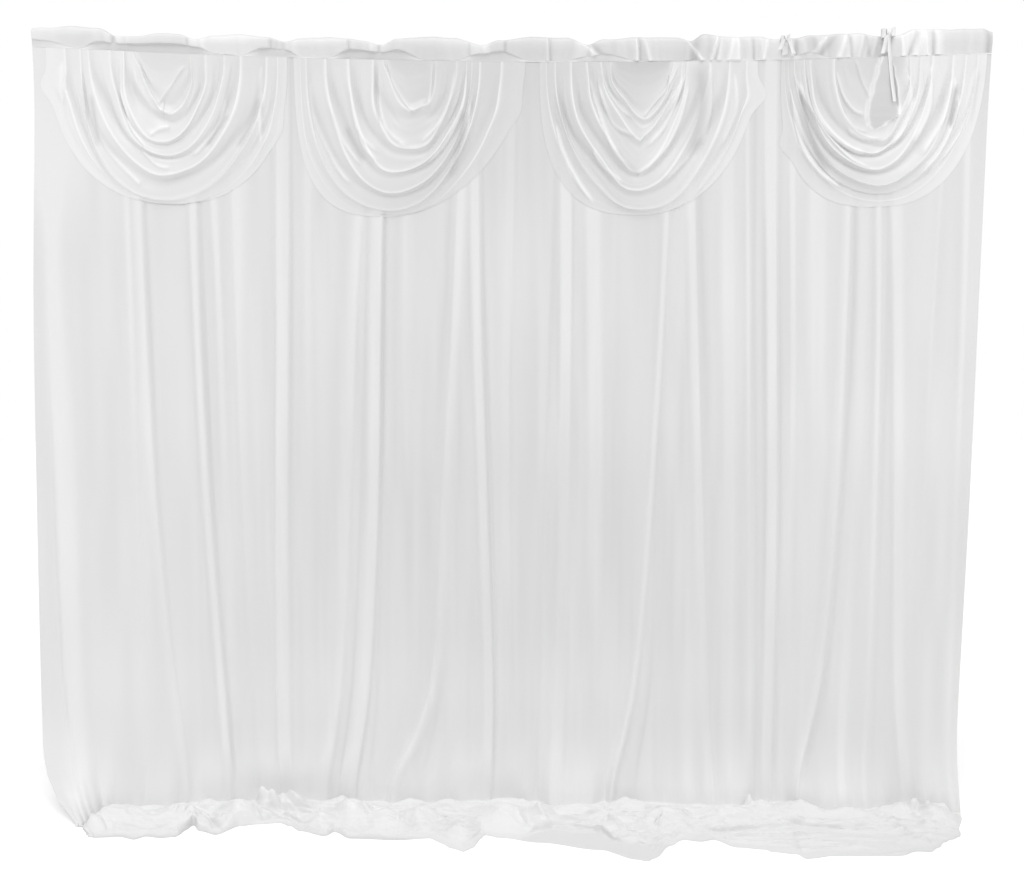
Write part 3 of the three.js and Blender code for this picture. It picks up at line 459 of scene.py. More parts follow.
# The layers that lie over each other. Each edge runs through the given points, and the cloth rises
# by `high` to it, over `left` and `right` on the two sides of someone who walks along it.
TONGUE = dict(x=(25, 125, 258, 332, 395, 485), forward=(310, 220, 252, 338, 360, 345))
LEDGES = table("x forward high left right", [
    (TONGUE["x"], TONGUE["forward"], 20, 45, 2.5),
    ((-1225, -1220, -1150, -1070), (100, 165, 230, 220), 11, 16, 4),
    ((-915, -870, -850), (210, 150, 55), 14, 5, 14), ((-845, -775, -695), (75, 165, 235), 15, 20, 3),
    ((-785, -695, -615), (115, 195, 230), 13, 20, 3), ((-835, -795), (75, 48), 26, 9, 14),
    ((-800, -740), (45, 60), 32, 12, 18), ((-765, -675), (55, 85), 26, 8, 18),
    ((-505, -425, -285, -120), (30, 100, 62, 100), 14, 16, 4),
    ((-325, -295, -320), (100, 180, 270), 14, 4, 12), ((-375, -350, -368), (115, 180, 260), 11, 4, 12),
    ((-240, -185, -100), (340, 295, 295), 18, 35, 2.5), ((190, 290, 355), (165, 125, 62), -14, 6, 5),
    ((150, 295, 340), (110, 68, 40), -12, 5, 5), ((340, 435, 510), (40, 30, 26), 24, 6, 12),
    ((350, 395, 405), (100, 170, 275), 15, 12, 3), ((435, 465, 480), (65, 165, 255), 15, 12, 3),
    ((410, 450), (110, 105), -16, 7, 7), ((620, 645, 810, 935), (170, 260, 235, 195), 17, 28, 3),
    ((870, 1020, 1165), (195, 235, 260), 20, 40, 2.5), ((640, 910, 1210), (310, 300, 340), 10, 22, 2.5),
    ((710, 890, 1135), (370, 360, 385), 9, 20, 2.5), ((660, 830, 1000), (285, 272, 288), 7, 14, 2.5),
    ((1145, 1205, 1235), (75, 165, 310), 15, 14, 4), ((1285, 1325), (125, 235), 13, 5, 12),
    ((1225, 1335), (295, 360), 18, 30, 2.5), ((785, 885, 1065), (415, 385, 400), 8, 18, 2.5),
    ((745, 865, 975), (165, 140, 60), 15, 9, 9), ((500, 625, 865), (55, 100, 72), 14, 12, 4),
    ((-380, -275), (297, 297), 12, 24, 2.5), ((-110, -45, 95), (80, 35, 50), 20, 7, 28),
])
TONGUE_EASE = 20           # the rumpled cloth comes down to the flat tongue over this
TONGUE_FLAT = 0.95         # and loses this share of its lumps there
HEM_START = 0.8            # past this share of the reach the cloth comes down to its edge
LUMP_FALL = 1.2            # how quickly a lump falls away beyond its width
LUMP_LEAN = 0.35           # a lump's top leans forward by this share of its height
CREASE_LEAN = 0.4          # and a crease's or a ledge's by this
LEDGE_HIGH = 0.55          # on the height of every ledge
RUMPLE = table("wide deep high", [(64, 40, 8), (26, 18, 3)])    # the crushed cloth's small ridges
# How crushed the cloth on the floor is at places along the curtain.
CRUSHED = table("x share", [
    (-1540, 0.2), (-1400, 0.3), (-1180, 0.4), (-1080, 1), (-560, 1), (-480, 0.6), (-340, 0.9), (-140, 1),
    (-80, 0.4), (60, 0.5), (160, 1), (600, 1), (760, 0.6), (1120, 0.6), (1250, 0.7), (1470, 0.5),
])
CRUSH_ENDS = dict(back=0.05, front=0.06)        # it grows over these shares of the reach
TURN_RADIUS = 8            # the bend where the panel meets the floor
FLOOR_CLOTH = 2.2          # height of the cloth's upper face where it lies flat
EDGE_CLOTH = 0.8           # and at its edge
EDGE_POWER = 6             # it comes down to that as late as this
RISE = dict(over=0.05, start=0.02)              # the lumps rise behind over this share of the reach
LEAN_ENDS = dict(back=0.2, front=0.15)          # and their lean grows over these at both ends
# The cloth's front edge is drawn together to this share of its width.
FLOOR_PULL = table("x share", [
    (-1540, 0.983), (-1440, 0.968), (-1340, 0.95), (-1240, 0.941), (-500, 0.941), (300, 0.967),
    (1500, 0.967),
])
# Near the floor the panel sweeps forward, and its sides sweep in. `edge` is how far in the
# cloth's front edge goes.
FOOT = table("x forward inward edge", [
    (-1540, 236, 198, 200), (-1470, 232, 136, 140), (-1440, 208, 112, 114), (-1415, 176, 92, 96),
    (-1390, 142, 72, 76), (-1350, 106, 42, 44), (-1290, 76, 8, 8), (-1220, 68, 0, 0), (-1140, 64, 0, 0),
    (-1080, 32, 0, 0), (-900, 18, 0, 0), (-790, 6, 0, 0), (-560, 6, 0, 0), (-450, 14, 0, 0),
    (-330, 28, 0, 0), (-200, 14, 0, 0), (-20, 8, 0, 0), (70, 14, 0, 0), (140, 60, 0, 0), (250, 55, 0, 0),
    (310, 12, 0, 0), (420, 8, 0, 0), (500, 36, 0, 0), (640, 50, 0, 0), (760, 46, 0, 0), (830, 12, 0, 0),
    (890, 20, 0, 0), (960, 70, 0, 0), (1020, 95, 0, 0), (1070, 85, 0, 0), (1150, 82, 0, 0),
    (1200, 78, 0, 0), (1250, 44, 0, 0), (1290, 30, 0, 0), (1350, 80, -6, -6), (1400, 112, -14, -14),
    (1470, 135, -24, -24),
])
SWEEP_TOP = 330            # the sweep starts this high
SWEEP_POWER = dict(forward=3.2, inward=4.4)
FOOT_WANDER = table("spacing deep", [(44, 10), (17, 3)])     # and its foot wanders by this
SIDE_FALL = 30             # the cloth on the floor comes down to its side edges over this width


def panel_columns():
    """The mesh's columns as lines that follow the folds: x at each of the levels."""
    lines = [PANEL_SIDES["left"]]
    for fold in PANEL_FOLDS:
        for offset in (-fold["flat"] - FLANK * fold["left"], -fold["flat"],
                       fold["flat"], fold["flat"] + FLANK * fold["right"]):
            lines.append(tuple(x + offset for x in fold["x"]))
    lines.append(PANEL_SIDES["right"])
    lines = np.array(lines, float)
    for step in range(1, len(lines)):
        lines[step] = np.maximum(lines[step], lines[step - 1] + CLOSEST)
    lines = np.minimum(lines, np.array(PANEL_SIDES["right"], float))
    columns = [lines[0]]
    for before, after in zip(lines[:-1], lines[1:]):
        steps = max(1, round((after - before).mean() / COLUMN_STEP))
        columns.extend(mix(before, after, step / steps) for step in range(1, steps + 1))
    return np.array(columns).T


def level_at(z):
    """The place among PANEL_LEVELS of a height, eased where the levels' spacing changes."""
    z = np.asarray(z, float)
    room = np.clip(np.minimum(PANEL_LEVELS[0] - z, z - PANEL_LEVELS[-1]), 0, LEVEL_EASE)
    places = [np.interp(-(z + share * room), -PANEL_LEVELS, np.arange(len(PANEL_LEVELS)))
              for share in np.linspace(-1, 1, LEVEL_SAMPLES)]
    return np.mean(places, axis=0)


def beyond_flat(fold, x, level):
    """How far each point lies beyond a fold's flat top, as a share of the flank on that side."""
    offset = x - curve_at(fold["x"], level)
    width = np.where(offset < 0, fold["left"], fold["right"])
    return np.maximum(np.abs(offset) - fold["flat"], 0) / width


def in_hollow(hollow, x, level):
    """1 along the middle of a hollow, falling to 0 at both sides."""
    return np.exp(-((x - curve_at(hollow["x"], level)) / (HOLLOW_WIDE * hollow["width"])) ** 2)


def panel_relief(x, z):
    """How far the panel's front stands forward: its folds, merged, less its hollows."""
    level = level_at(z)
    total = np.zeros_like(x)
    for fold in PANEL_FOLDS:
        shape = np.exp(-beyond_flat(fold, x, level) ** FOLD_SLOPE)
        total += (np.maximum(curve_at(fold["relief"], level), 0) * shape) ** MERGE_POWER
    relief = total ** (1 / MERGE_POWER)
    for hollow in PANEL_HOLLOWS:
        depth = np.maximum(curve_at(hollow["depth"], level), 0)
        relief -= HOLLOW_DEEP * depth * in_hollow(hollow, x, level)
    drop = seam_height(x) - z
    growth = mix(SEAM_RELIEF, 1, smooth(drop / GATHER_DROP)) * along(FACE_SHADE_AND_RELIEF, "z", z, "relief")
    faded = (np.maximum(drop, 0) / SEAM_FORWARD["fade"]) ** SEAM_FORWARD["slope"]
    return RELIEF_SCALE * growth * relief + SEAM_FORWARD["out"] * np.exp(-faded)


def tongue_at(x, forward):
    """1 where the cloth lies flat in a single layer in front of the rumpled cloth, 0 elsewhere."""
    edge = np.interp(x, TONGUE["x"], TONGUE["forward"], left=1e3, right=1e3)
    return smooth((forward - edge) / TONGUE_EASE)


def floor_height(x, forward, share):
    """The height of the cloth's face on the floor, and how far forward it leans over there."""
    lumps, creases = np.zeros_like(x), np.zeros_like(x)
    for lump in LUMPS:
        away = ((x - lump["x"]) / lump["wide"]) ** 2 + ((forward - lump["forward"]) / lump["deep"]) ** 2
        lumps = np.maximum(lumps, lump["high"] * np.exp(-LUMP_FALL * away))
    for crease in CREASES:
        (x0, x1), (y0, y1) = crease["x"], crease["forward"]
        length = math.hypot(x1 - x0, y1 - y0)
        run = ((x - x0) * (x1 - x0) + (forward - y0) * (y1 - y0)) / length ** 2
        side = ((forward - y0) * (x1 - x0) - (x - x0) * (y1 - y0)) / length
        bow = CREASE_BOW * length * np.sin(math.pi * np.clip(run, 0, 1))
        away = np.abs((side - bow) / (CREASE_WIDE * crease["wide"]))
        shape = fade_ends(run, **FLOOR_CREASE) * np.exp(-away ** FLOOR_CREASE_SLOPE)
        creases += CREASE_HIGH * crease["high"] * shape
    for ledge in LEDGES:
        creases += LEDGE_HIGH * crease_height(ledge, "forward", x, forward)
    rng = np.random.default_rng(7)
    crushed = along(CRUSHED, "x", x, "share")
    crushed = crushed * smooth(share / CRUSH_ENDS["back"]) * smooth((1 - share) / CRUSH_ENDS["front"])
    for bumps in RUMPLE:
        lumps += crushed * bumps["high"] * crumple(rng, x, forward, bumps["wide"], bumps["deep"])
    flat = 1 - TONGUE_FLAT * tongue_at(x, forward)
    roll = along(FRONT_EDGE, "x", x, "roll")
    past = np.clip((share - HEM_START) / (1 - HEM_START), 0, 1)
    rolled = mix(1 - smooth(past), np.sqrt(np.maximum(1 - past ** 3, 0)), roll)
    lean = LUMP_LEAN * np.maximum(lumps, 0) + CREASE_LEAN * creases
    return np.maximum(lumps * flat + creases, 0) * rolled, lean * flat * rolled


def panel_grid():
    """The panel's points: the hanging rows, the bend at the floor and the rows on the floor."""
    lines = panel_columns()
    sweep_forward, sweep_in, edge_in = (
        along(FOOT, "x", lines[-1], key) for key in ("forward", "inward", "edge")
    )
    rng = np.random.default_rng(5)
    for row in FOOT_WANDER:
        sweep_forward = sweep_forward + row["deep"] * wander(rng, lines[-1], row["spacing"])
    side_fall = smooth(np.minimum(lines[-1] - lines[-1][0], lines[-1][-1] - lines[-1]) / SIDE_FALL)
    bend_start = TURN_RADIUS + FLOOR_CLOTH
    top = seam_height(lines[0])
    rows = []
    for step in range(HANGING_ROWS + 1):
        share = step / HANGING_ROWS
        z = mix(top, bend_start, share ** ROW_SPREAD)
        x = curve_at(lines, level_at(z)[None, :])[0]
        sweep = np.clip((SWEEP_TOP - z) / SWEEP_TOP, 0, 1)
        y = -panel_relief(x, z) - sweep_forward * sweep ** SWEEP_POWER["forward"]
        rows.append(np.stack([x + sweep_in * sweep ** SWEEP_POWER["inward"], y, z], axis=-1))
    foot_x, foot_y = rows[-1][:, 0], rows[-1][:, 1]
    for step in range(1, BEND_ROWS):
        angle = step / BEND_ROWS * math.pi / 2
        z = np.full_like(foot_x, bend_start - TURN_RADIUS * math.sin(angle))
        rows.append(np.stack([foot_x, foot_y - TURN_RADIUS * (1 - math.cos(angle)), z], axis=-1))
    reach = np.maximum(along(FRONT_EDGE, "x", lines[-1], "reach"), 2 * TURN_RADIUS - foot_y)
    for step in range(FLOOR_ROWS + 1):
        share = np.full_like(foot_x, step / FLOOR_ROWS)
        forward = mix(TURN_RADIUS - foot_y, reach, share)
        pull = mix(1, along(FLOOR_PULL, "x", lines[-1], "share"), smooth(share))
        height, lean = floor_height(lines[-1], forward, share)
        height = height * smooth(share / RISE["over"] + RISE["start"]) * side_fall
        leaning = smooth(share / LEAN_ENDS["back"]) * smooth((1 - share) / LEAN_ENDS["front"])
        x = lines[-1] * pull + mix(sweep_in, edge_in, smooth(share))
        z = mix(FLOOR_CLOTH, EDGE_CLOTH, share ** EDGE_POWER) + height
        rows.append(np.stack([x, -forward - lean * leaning * side_fall, z], axis=-1))
    return np.array(rows)


def panel_layers_and_shade(grid):
    """How gathered the panel is at each point, with painted light and shade: lighter on its folds,
    painted shade in its hollows and across the middle, painted shade or light beside the swags and near
    the floor, a painted highlight on the lumps on the floor and painted shade under the rolled edge.
    """
    x, z = grid[..., 0], grid[..., 2]
    level = level_at(z)
    fold_light_and_layers, hollow_shade = np.zeros_like(x), np.zeros_like(x)
    for fold in PANEL_FOLDS:
        share = np.clip(curve_at(fold["relief"], level) / FOLD_FULL, 0, 1)
        shape = np.exp(-(beyond_flat(fold, x, level) / FOLD_EDGE) ** 2)
        fold_light_and_layers = np.maximum(fold_light_and_layers, share * shape)
    # painted shade in the hollows
    for hollow in PANEL_HOLLOWS:
        share = np.clip(curve_at(hollow["depth"], level) / HOLLOW_SHADE_FULL, 0, 1)
        hollow_shade = np.maximum(hollow_shade, share * in_hollow(hollow, x, level))
    hollow_shade = hollow_shade * smooth(z / LOW_TOP + LOW_HOLLOW_SHADE)
    rng = np.random.default_rng(3)
    # painted shade: darker in the middle of the curtain, lighter toward its sides
    aside = smooth(np.abs(x) / HALF_WIDTH * PANEL_SIDE_LIGHT["slope"] - PANEL_SIDE_LIGHT["start"])
    face = mix(along(FACE_SHADE_AND_RELIEF, "z", z, "middle"), along(FACE_SHADE_AND_RELIEF, "z", z, "side"), aside)
    for patch in PATCHES:
        face = face + patch["share"] * rumple(rng, x, z, patch["wide"], patch["deep"])
    # painted light and shade on the hanging cloth near the floor
    face = face + along(LOW_LAYERS_AND_SHADE, "x", x, "more") * smooth(1 - z / LOW_TOP)
    # painted shade, or light, beside the swags
    upper = smooth((z - TOP_FOOT["start"]) / (TOP_FOOT["full"] - TOP_FOOT["start"]))
    face = face + along(TOP_SHADE, "x", x, "more") * upper
    hanging = face + along(FACE_SHADE_AND_RELIEF, "z", z, "fold") * fold_light_and_layers
    hanging = mix(hanging, PANEL_LAYERS_AND_SHADE["hollow"], hollow_shade * (1 - fold_light_and_layers))
    laid = along(LOW_LAYERS_AND_SHADE, "x", x, "lying")
    lying = mix(laid, PANEL_LAYERS_AND_SHADE["tongue"], tongue_at(x, -grid[..., 1]))
    # painted highlight on the lumps as they rise, painted shade on the low cloth
    lying = lying + LUMP_LIGHT_AND_SHADE["more"] * np.clip(z / LUMP_LIGHT_AND_SHADE["full"] - LUMP_LIGHT_AND_SHADE["flat"], -LUMP_LIGHT_AND_SHADE["flat"], 1)
    # painted shade on the rolled-under last rows
    row = np.arange(len(grid))[:, None]
    under = smooth((row - len(grid) + 1 + ROLL_UNDER_SHADE["rows"]) / ROLL_UNDER_SHADE["rows"])
    lying = lying - ROLL_UNDER_SHADE["less"] * under * along(FRONT_EDGE, "x", x, "roll")
    return np.where(row > HANGING_ROWS, lying, mix(laid, hanging, np.sqrt(smooth(z / FLOOR_FADE))))


panel_points = panel_grid()
panel = grid_mesh("panel_cloth", [panel_points], panel_layers_and_shade(panel_points), voile)
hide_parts("panel")
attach(panel, "root")

# ---------------------------------------------------------------- the swags
# One row for each crest, from the inner edge to the hem: where it leaves the seam on the left
# and on the right, where its lowest point hangs and how far below the seam, how far it stands
# out at its left side, lowest point and right side, and how full its curve is on each side.
SWAG_COLUMNS = ("left", "right", "low", "drop", "out_left", "out_low", "out_right",
                "full_left", "full_right")
SWAGS = {
    "swag_1": [
        (-1165, -1012, -1091, 0, 0, 0, 0, 2, 2),
        (-1183, -1006, -1088, 181, 11, 8, 5, 1.5, 2.8),
        (-1211, -959, -1088, 278, 13, 8, 7, 2.4, 1.9),
        (-1255, -900, -1088, 318, 8, 6, 6, 2.1, 2),
        (-1324, -850, -1088, 374, 13, 11, 10, 1.85, 2.1),
        (-1350, -769, -1088, 446, 15, 7, 14, 2.5, 1.95),
        (-1398, -734, -1088, 458, 12, 2, 9, 2.3, 2.2),
        (-1458, -703, -1088, 464, 0, 0, 0, 2.4, 2.3),
    ],
    "swag_2": [
        (-379, -254, -319, 0, 0, 0, 0, 2, 2),
        (-401, -239, -316, 155, 9, 6, 5, 1.35, 2),
        (-432, -173, -341, 265, 13, 7, 6, 2.6, 2.1),
        (-510, -142, -360, 340, 12, 8, 8, 2.2, 2),
        (-582, -126, -378, 408, 14, 7, 9, 2.1, 2),
        (-644, -101, -397, 461, 14, 6, 10, 2.3, 2),
        (-663, -33, -397, 475, 8, 2, 9, 2.6, 2),
        (-684, 42, -400, 484, 0, 0, 0, 3.1, 1.85),
    ],
    "swag_3": [
        (329, 488, 407, 0, 0, 0, 0, 2, 2),
        (310, 507, 403, 179, 10, 6, 8, 1.5, 1.5),
        (279, 532, 400, 235, 12, 6, 10, 1.5, 1.6),
        (235, 547, 394, 334, 12, 7, 9, 1.6, 1.7),
        (186, 619, 400, 387, 12, 8, 14, 1.9, 1.7),
        (136, 681, 410, 448, 15, 7, 13, 2, 1.9),
        (108, 734, 410, 463, 11, 2, 10, 2.3, 2.1),
        (86, 769, 407, 472, 0, 0, 0, 2.8, 2.1),
    ],
    "swag_4": [
        (1059, 1224, 1148, 0, 0, 0, 0, 2, 2),
        (1009, 1243, 1141, 254, 9, 5, 8, 2, 1.9),
        (934, 1277, 1129, 297, 12, 8, 9, 2, 1.9),
        (915, 1314, 1138, 344, 8, 10, 12, 1.9, 1.9),
        (884, 1380, 1154, 398, 10, 12, 14, 1.9, 2),
        (865, 1420, 1160, 426, 14, 2, 11, 1.95, 1.95),
        (853, 1458, 1163, 447, 16, 10, 13, 2, 2),
        (843, 1486, 1170, 460, 0, 0, 0, 2.8, 2.3),
    ],
}
# Creases that cross the crests. Each runs through the given points and stands `high` out, or lies
# that far in where it is below 0. It falls away over `left` and `right` on the two sides of
# someone who walks along it.
SWAG_CREASES = {
    "swag_1": table("x drop high left right", [
        ((-1024, -1069, -1110), (34, 104, 160), 4, 4, 12),
        ((-1183, -1170, -1138, -1113, -1050), (22, 96, 149, 176, 179), 4, 4, 10),
        ((-1138, -1107, -1069), (261, 238, 227), 5, 12, 5),
        ((-1232, -1210, -1192, -1138), (102, 177, 239, 308), 5, 12, 4),
        ((-1405, -1411, -1421), (27, 156, 312), 7, 4, 16),
        ((-1327, -1276, -1198, -1170), (208, 305, 388, 412), 5, 14, 4),
        ((-893, -912, -966, -1006), (118, 196, 279, 318), 5, 4, 12),
        ((-781, -787, -790), (13, 130, 285), 6, 3, 12), ((-716, -717, -743), (23, 112, 247), 5, 12, 3),
        ((-1170, -1119, -1075), (294, 347, 358), 4, 10, 4),
        ((-1322, -1313, -1300), (137, 214, 307), -4, 7, 9),
        ((-797, -822, -869), (130, 208, 288), -5, 8, 7), ((-890, -925, -962), (180, 235, 289), -5, 7, 7),
    ]),
    "swag_2": table("x drop high left right", [
        ((-394, -372, -334, -309, -278), (-4, 70, 134, 155, 130), 4, 10, 3),
        ((-248, -253, -265), (0, 80, 148), 4, 4, 10),
        ((-419, -416, -397, -353, -322), (3, 120, 207, 255, 264), 5, 12, 3),
        ((-510, -498, -473, -416), (55, 168, 239, 294), 5, 12, 3),
        ((-491, -466, -416), (177, 270, 322), 4, 10, 4),
        ((-176, -196, -240, -297), (11, 128, 210, 261), 5, 3, 12),
        ((-139, -152, -209, -278), (11, 140, 259, 329), 5, 3, 12),
        ((-573, -535, -473), (139, 247, 332), 5, 12, 3),
        ((-638, -623, -554, -504), (33, 181, 334, 389), 5, 14, 3),
        ((-127, -146, -203), (115, 240, 353), 5, 3, 12), ((-46, -49), (202, 313), 3, 5, 5),
        ((-152, -165, -200), (147, 250, 365), -5, 13, 13),
        ((-524, -497, -462), (209, 265, 318), -5, 8, 8), ((-427, -424, -415), (5, 110, 215), -4, 5, 5),
    ]),
    "swag_3": table("x drop high left right", [
        ((279, 300, 338, 382), (27, 89, 144, 179), 4, 10, 3),
        ((265, 287, 325, 388), (52, 129, 201, 232), 5, 12, 3),
        ((235, 268, 300, 338, 382), (21, 144, 238, 300, 334), 6, 14, 3),
        ((522, 488, 438, 410), (10, 78, 139, 176), 4, 3, 10),
        ((547, 520, 476, 419), (23, 115, 208, 269), 6, 3, 14),
        ((557, 535, 488, 400), (54, 161, 263, 356), 6, 3, 12),
        ((601, 557, 476), (209, 295, 375), 5, 3, 12), ((250, 287, 356), (269, 325, 381), 5, 12, 3),
        ((137, 155, 212, 268), (176, 269, 378, 449), 6, 14, 3),
        ((622, 626, 601), (-1, 147, 258), 7, 3, 20), ((697, 708, 658), (25, 148, 271), 5, 4, 12),
        ((587, 593, 562), (5, 146, 301), -6, 28, 24), ((325, 380, 400), (270, 335, 350), -4, 8, 8),
    ]),
    "swag_4": table("x drop high left right", [
        ((1009, 1035, 1072, 1110), (18, 111, 162, 178), 5, 12, 3),
        ((1047, 1072, 1116), (173, 212, 232), 4, 8, 3), ((1047, 1097, 1167), (217, 250, 252), 4, 8, 3),
        ((1071, 1097, 1123), (1, 76, 126), 4, 8, 3),
        ((878, 922, 984, 1066, 1116), (40, 133, 222, 286, 297), 7, 16, 3),
        ((940, 984, 1060, 1129), (146, 228, 310, 344), 5, 12, 3),
        ((871, 903, 966, 1047), (65, 245, 346, 404), 7, 18, 3),
        ((1233, 1254, 1229, 1185), (37, 130, 223, 283), 6, 3, 16),
        ((1308, 1311, 1261), (21, 163, 273), 7, 3, 18), ((1380, 1355, 1286), (73, 196, 311), 7, 3, 18),
        ((1383, 1399, 1355, 1280), (42, 166, 289, 373), 6, 3, 16),
        ((1458, 1443, 1399, 1311), (21, 137, 260, 368), 7, 3, 16),
        ((900, 937, 994), (90, 230, 354), -6, 18, 14), ((1466, 1448), (46, 230), -5, 6, 6),
        ((1394, 1386, 1375), (90, 160, 228), -7, 7, 7), ((1186, 1198, 1208), (0, 90, 160), -9, 5, 6),
    ]),
}
# Where the fourth swag is bunched up under the long tie: a flap, flat in front, with two edges.
BUNCH = table("drop left right out", [
    (0, 1150, 1184, 18), (40, 1140, 1196, 18), (100, 1126, 1208, 15), (150, 1114, 1214, 12),
    (178, 1112, 1212, 9), (205, 1118, 1172, 5), (225, 1134, 1140, 0),
])
BUNCHED = "swag_4"         # the swag that has it
BUNCH_SHADE = 0.25        # the flap's front is darkened by painted shade to this
BUNCH_EDGE = 6             # its edges are this wide, and get a painted highlight
BUNCH_FOOT = 12            # and its lowest stretch passes into the cloth round it over this
STAND_SCALE = 0.8          # on how far every crest stands out
SWAG_STAND = 16.2          # the swags' front at the seam, flush with the foot of the pocket
HEM_STAND = 1.5            # the cloth beside the hem stands out only this far at the seam
SWAG_BELLY = 9             # how much further forward a swag's cloth hangs at its fullest
BELLY_FULL = 1.3           # it is full at the swag's deepest drop divided by this
HEM_BELLY = 0.03           # the share of the belly beside the hem
# Where each change toward the hem starts, in crests before it, and over how many it comes about.
HEM_ROWS = dict(corner=(1.6, 1.6), belly=(4, 3), stand=(4.2, 3.2), hem=(1, 1), layers=(1.2, 1))
SWAG_CLEAR = dict(face=1.2, hem=0.6)      # a swag rests this far ahead of the panel's folds
CLEAR_EASE = dict(face=2, hem=0.6)        # and comes to rest on them this gently
PLEAT_SHARE = 0.35         # of its relief that a crest keeps where it meets the seam
PLEAT_DROP = 150           # a crest has its full relief this far below the seam
ROOM_NEEDED = 44           # crests nearer to each other than this are lower
ROOM_LEAST = dict(crest=0.3, ripple=0.1)         # but keep this share of their height
FOLD_SHARPNESS = dict(side=1.05, low=1.4)
VALLEY = dict(side=0.88, low=0.2, first=0.85)    # where the hollow lies between two crests
SINK = dict(side=0.66, low=0.42)          # it is deeper by this share of the next crest's height
SINK_WIDE = 0.16           # and this wide, as a share of the way between two crests
HANG_OVER = dict(by=4, slope=3, side=0.6, over=1.6)    # a low crest hangs over the hollow below it
SWAY = dict(spacing=0.15, rows=0.9, wide=10, high=10, ease=2.2)    # a crest wanders by this
FADE = dict(spacing=0.13, rows=1.7, share=0.45)  # and its height comes and goes along it
# Faint creases that run with the crests.
RIPPLES = table("spacing high side low", [(0.21, 2.4, 1.0, 0.35), (0.09, 1.1, 1.0, 0.3)])
RIPPLE_SWELL = dict(spacing=0.11, share=0.5)     # they come and go
RIPPLE_DROP = 60           # and have their full height this far below the seam
CREASE_SCALE = 1.2         # on the height of every crease that crosses them
SWAG_TURNS = 220           # the mesh's columns
CREST_STEPS = 20           # its rows from crest to crest
MIDDLE_STEPS = 56          # and within the innermost crest
# How light the satin is at each place, with painted light and shade: a painted highlight on the crests
# and the seam, painted shade in the hollows and on the band under the puffs, and a doubled hem. And on
# each swag's faces and its flat middle, lighter or darker as painted light from the side falls on them.
SATIN_LAYERS_AND_SHADE = dict(crest=1.0, hollow=0.2, hem_more=0.08, band=0.3, seam=0.9)
SWAG_FACE_LIGHT = {
    "swag_1": dict(left=0.64, middle=0.46, right=0.52),
    "swag_2": dict(left=0.52, middle=0.3, right=0.36),
    "swag_3": dict(left=0.36, middle=0.16, right=0.57),
    "swag_4": dict(left=0.4, middle=0.36, right=0.63),
}
CREST_HIGHLIGHT = dict(wide=0.1, full=8)       # a painted highlight along a crest that is this high
RAISED_HIGHLIGHT = dict(start=2, over=4, most=0.6)  # a raised crease gets a painted highlight from this height on
SINK_SHADE_FULL = 12             # a hollow this deep between two crests gets the full painted shade
SUNK_SHADE_FULL = 6              # and so does a crease that lies this far in
MIDDLE_EASE = 1.1          # the flat middle ends at the first crest
# Corners of the swags that hang free beyond the hem's curve.
CORNERS = table("swag side drop deep out", [
    ("swag_1", "left", 118, 40, 28), ("swag_1", "right", 225, 42, 12), ("swag_2", "right", 150, 45, 14),
    ("swag_3", "right", 105, 42, 38), ("swag_4", "left", 262, 36, 24),
])


def toward_hem(change, crest, last):
    """0 where a change toward the hem hasn't begun, and 1 where it has come about."""
    start, over = HEM_ROWS[change]
    return smooth((crest - last + start) / over)


def side_to_low(pair, lowness):
    """The value between a crest's sides and its lowest point, from `side` and `low` of a table."""
    return mix(pair["side"], pair["low"], lowness ** 2)


def swag_outline(name, rows_of, crest, turn, rng):
    """Where each point lies as seen from the front: x, and how far it falls below the seam."""
    side, lowness = np.cos(math.pi * turn), np.sin(math.pi * turn)
    last = len(SWAGS[name]) - 1
    value = {key: curve_at(rows, crest) for key, rows in rows_of.items()}
    power = 2 / np.where(side > 0, value["full_left"], value["full_right"])
    across = np.where(side > 0, value["left"], value["right"]) - value["low"]
    loose = smooth(crest) * smooth(last - crest) * smooth(lowness * SWAY["ease"])
    drift = [rumple(rng, turn / SWAY["spacing"], crest * SWAY["rows"], 1, 1) for _ in range(2)]
    x = value["low"] + across * np.abs(side) ** power + SWAY["wide"] * loose * drift[0]
    fall = value["drop"] * np.maximum(lowness, 0) ** power + SWAY["high"] * loose * drift[1]
    for corner in CORNERS:
        if corner["swag"] == name:
            outward = -1 if corner["side"] == "left" else 1
            at_side = smooth(outward * -side * 4) * toward_hem("corner", crest, last)
            shape = np.exp(-((fall - corner["drop"]) / corner["deep"]) ** 2)
            x = x + outward * corner["out"] * at_side * shape
    return x, fall


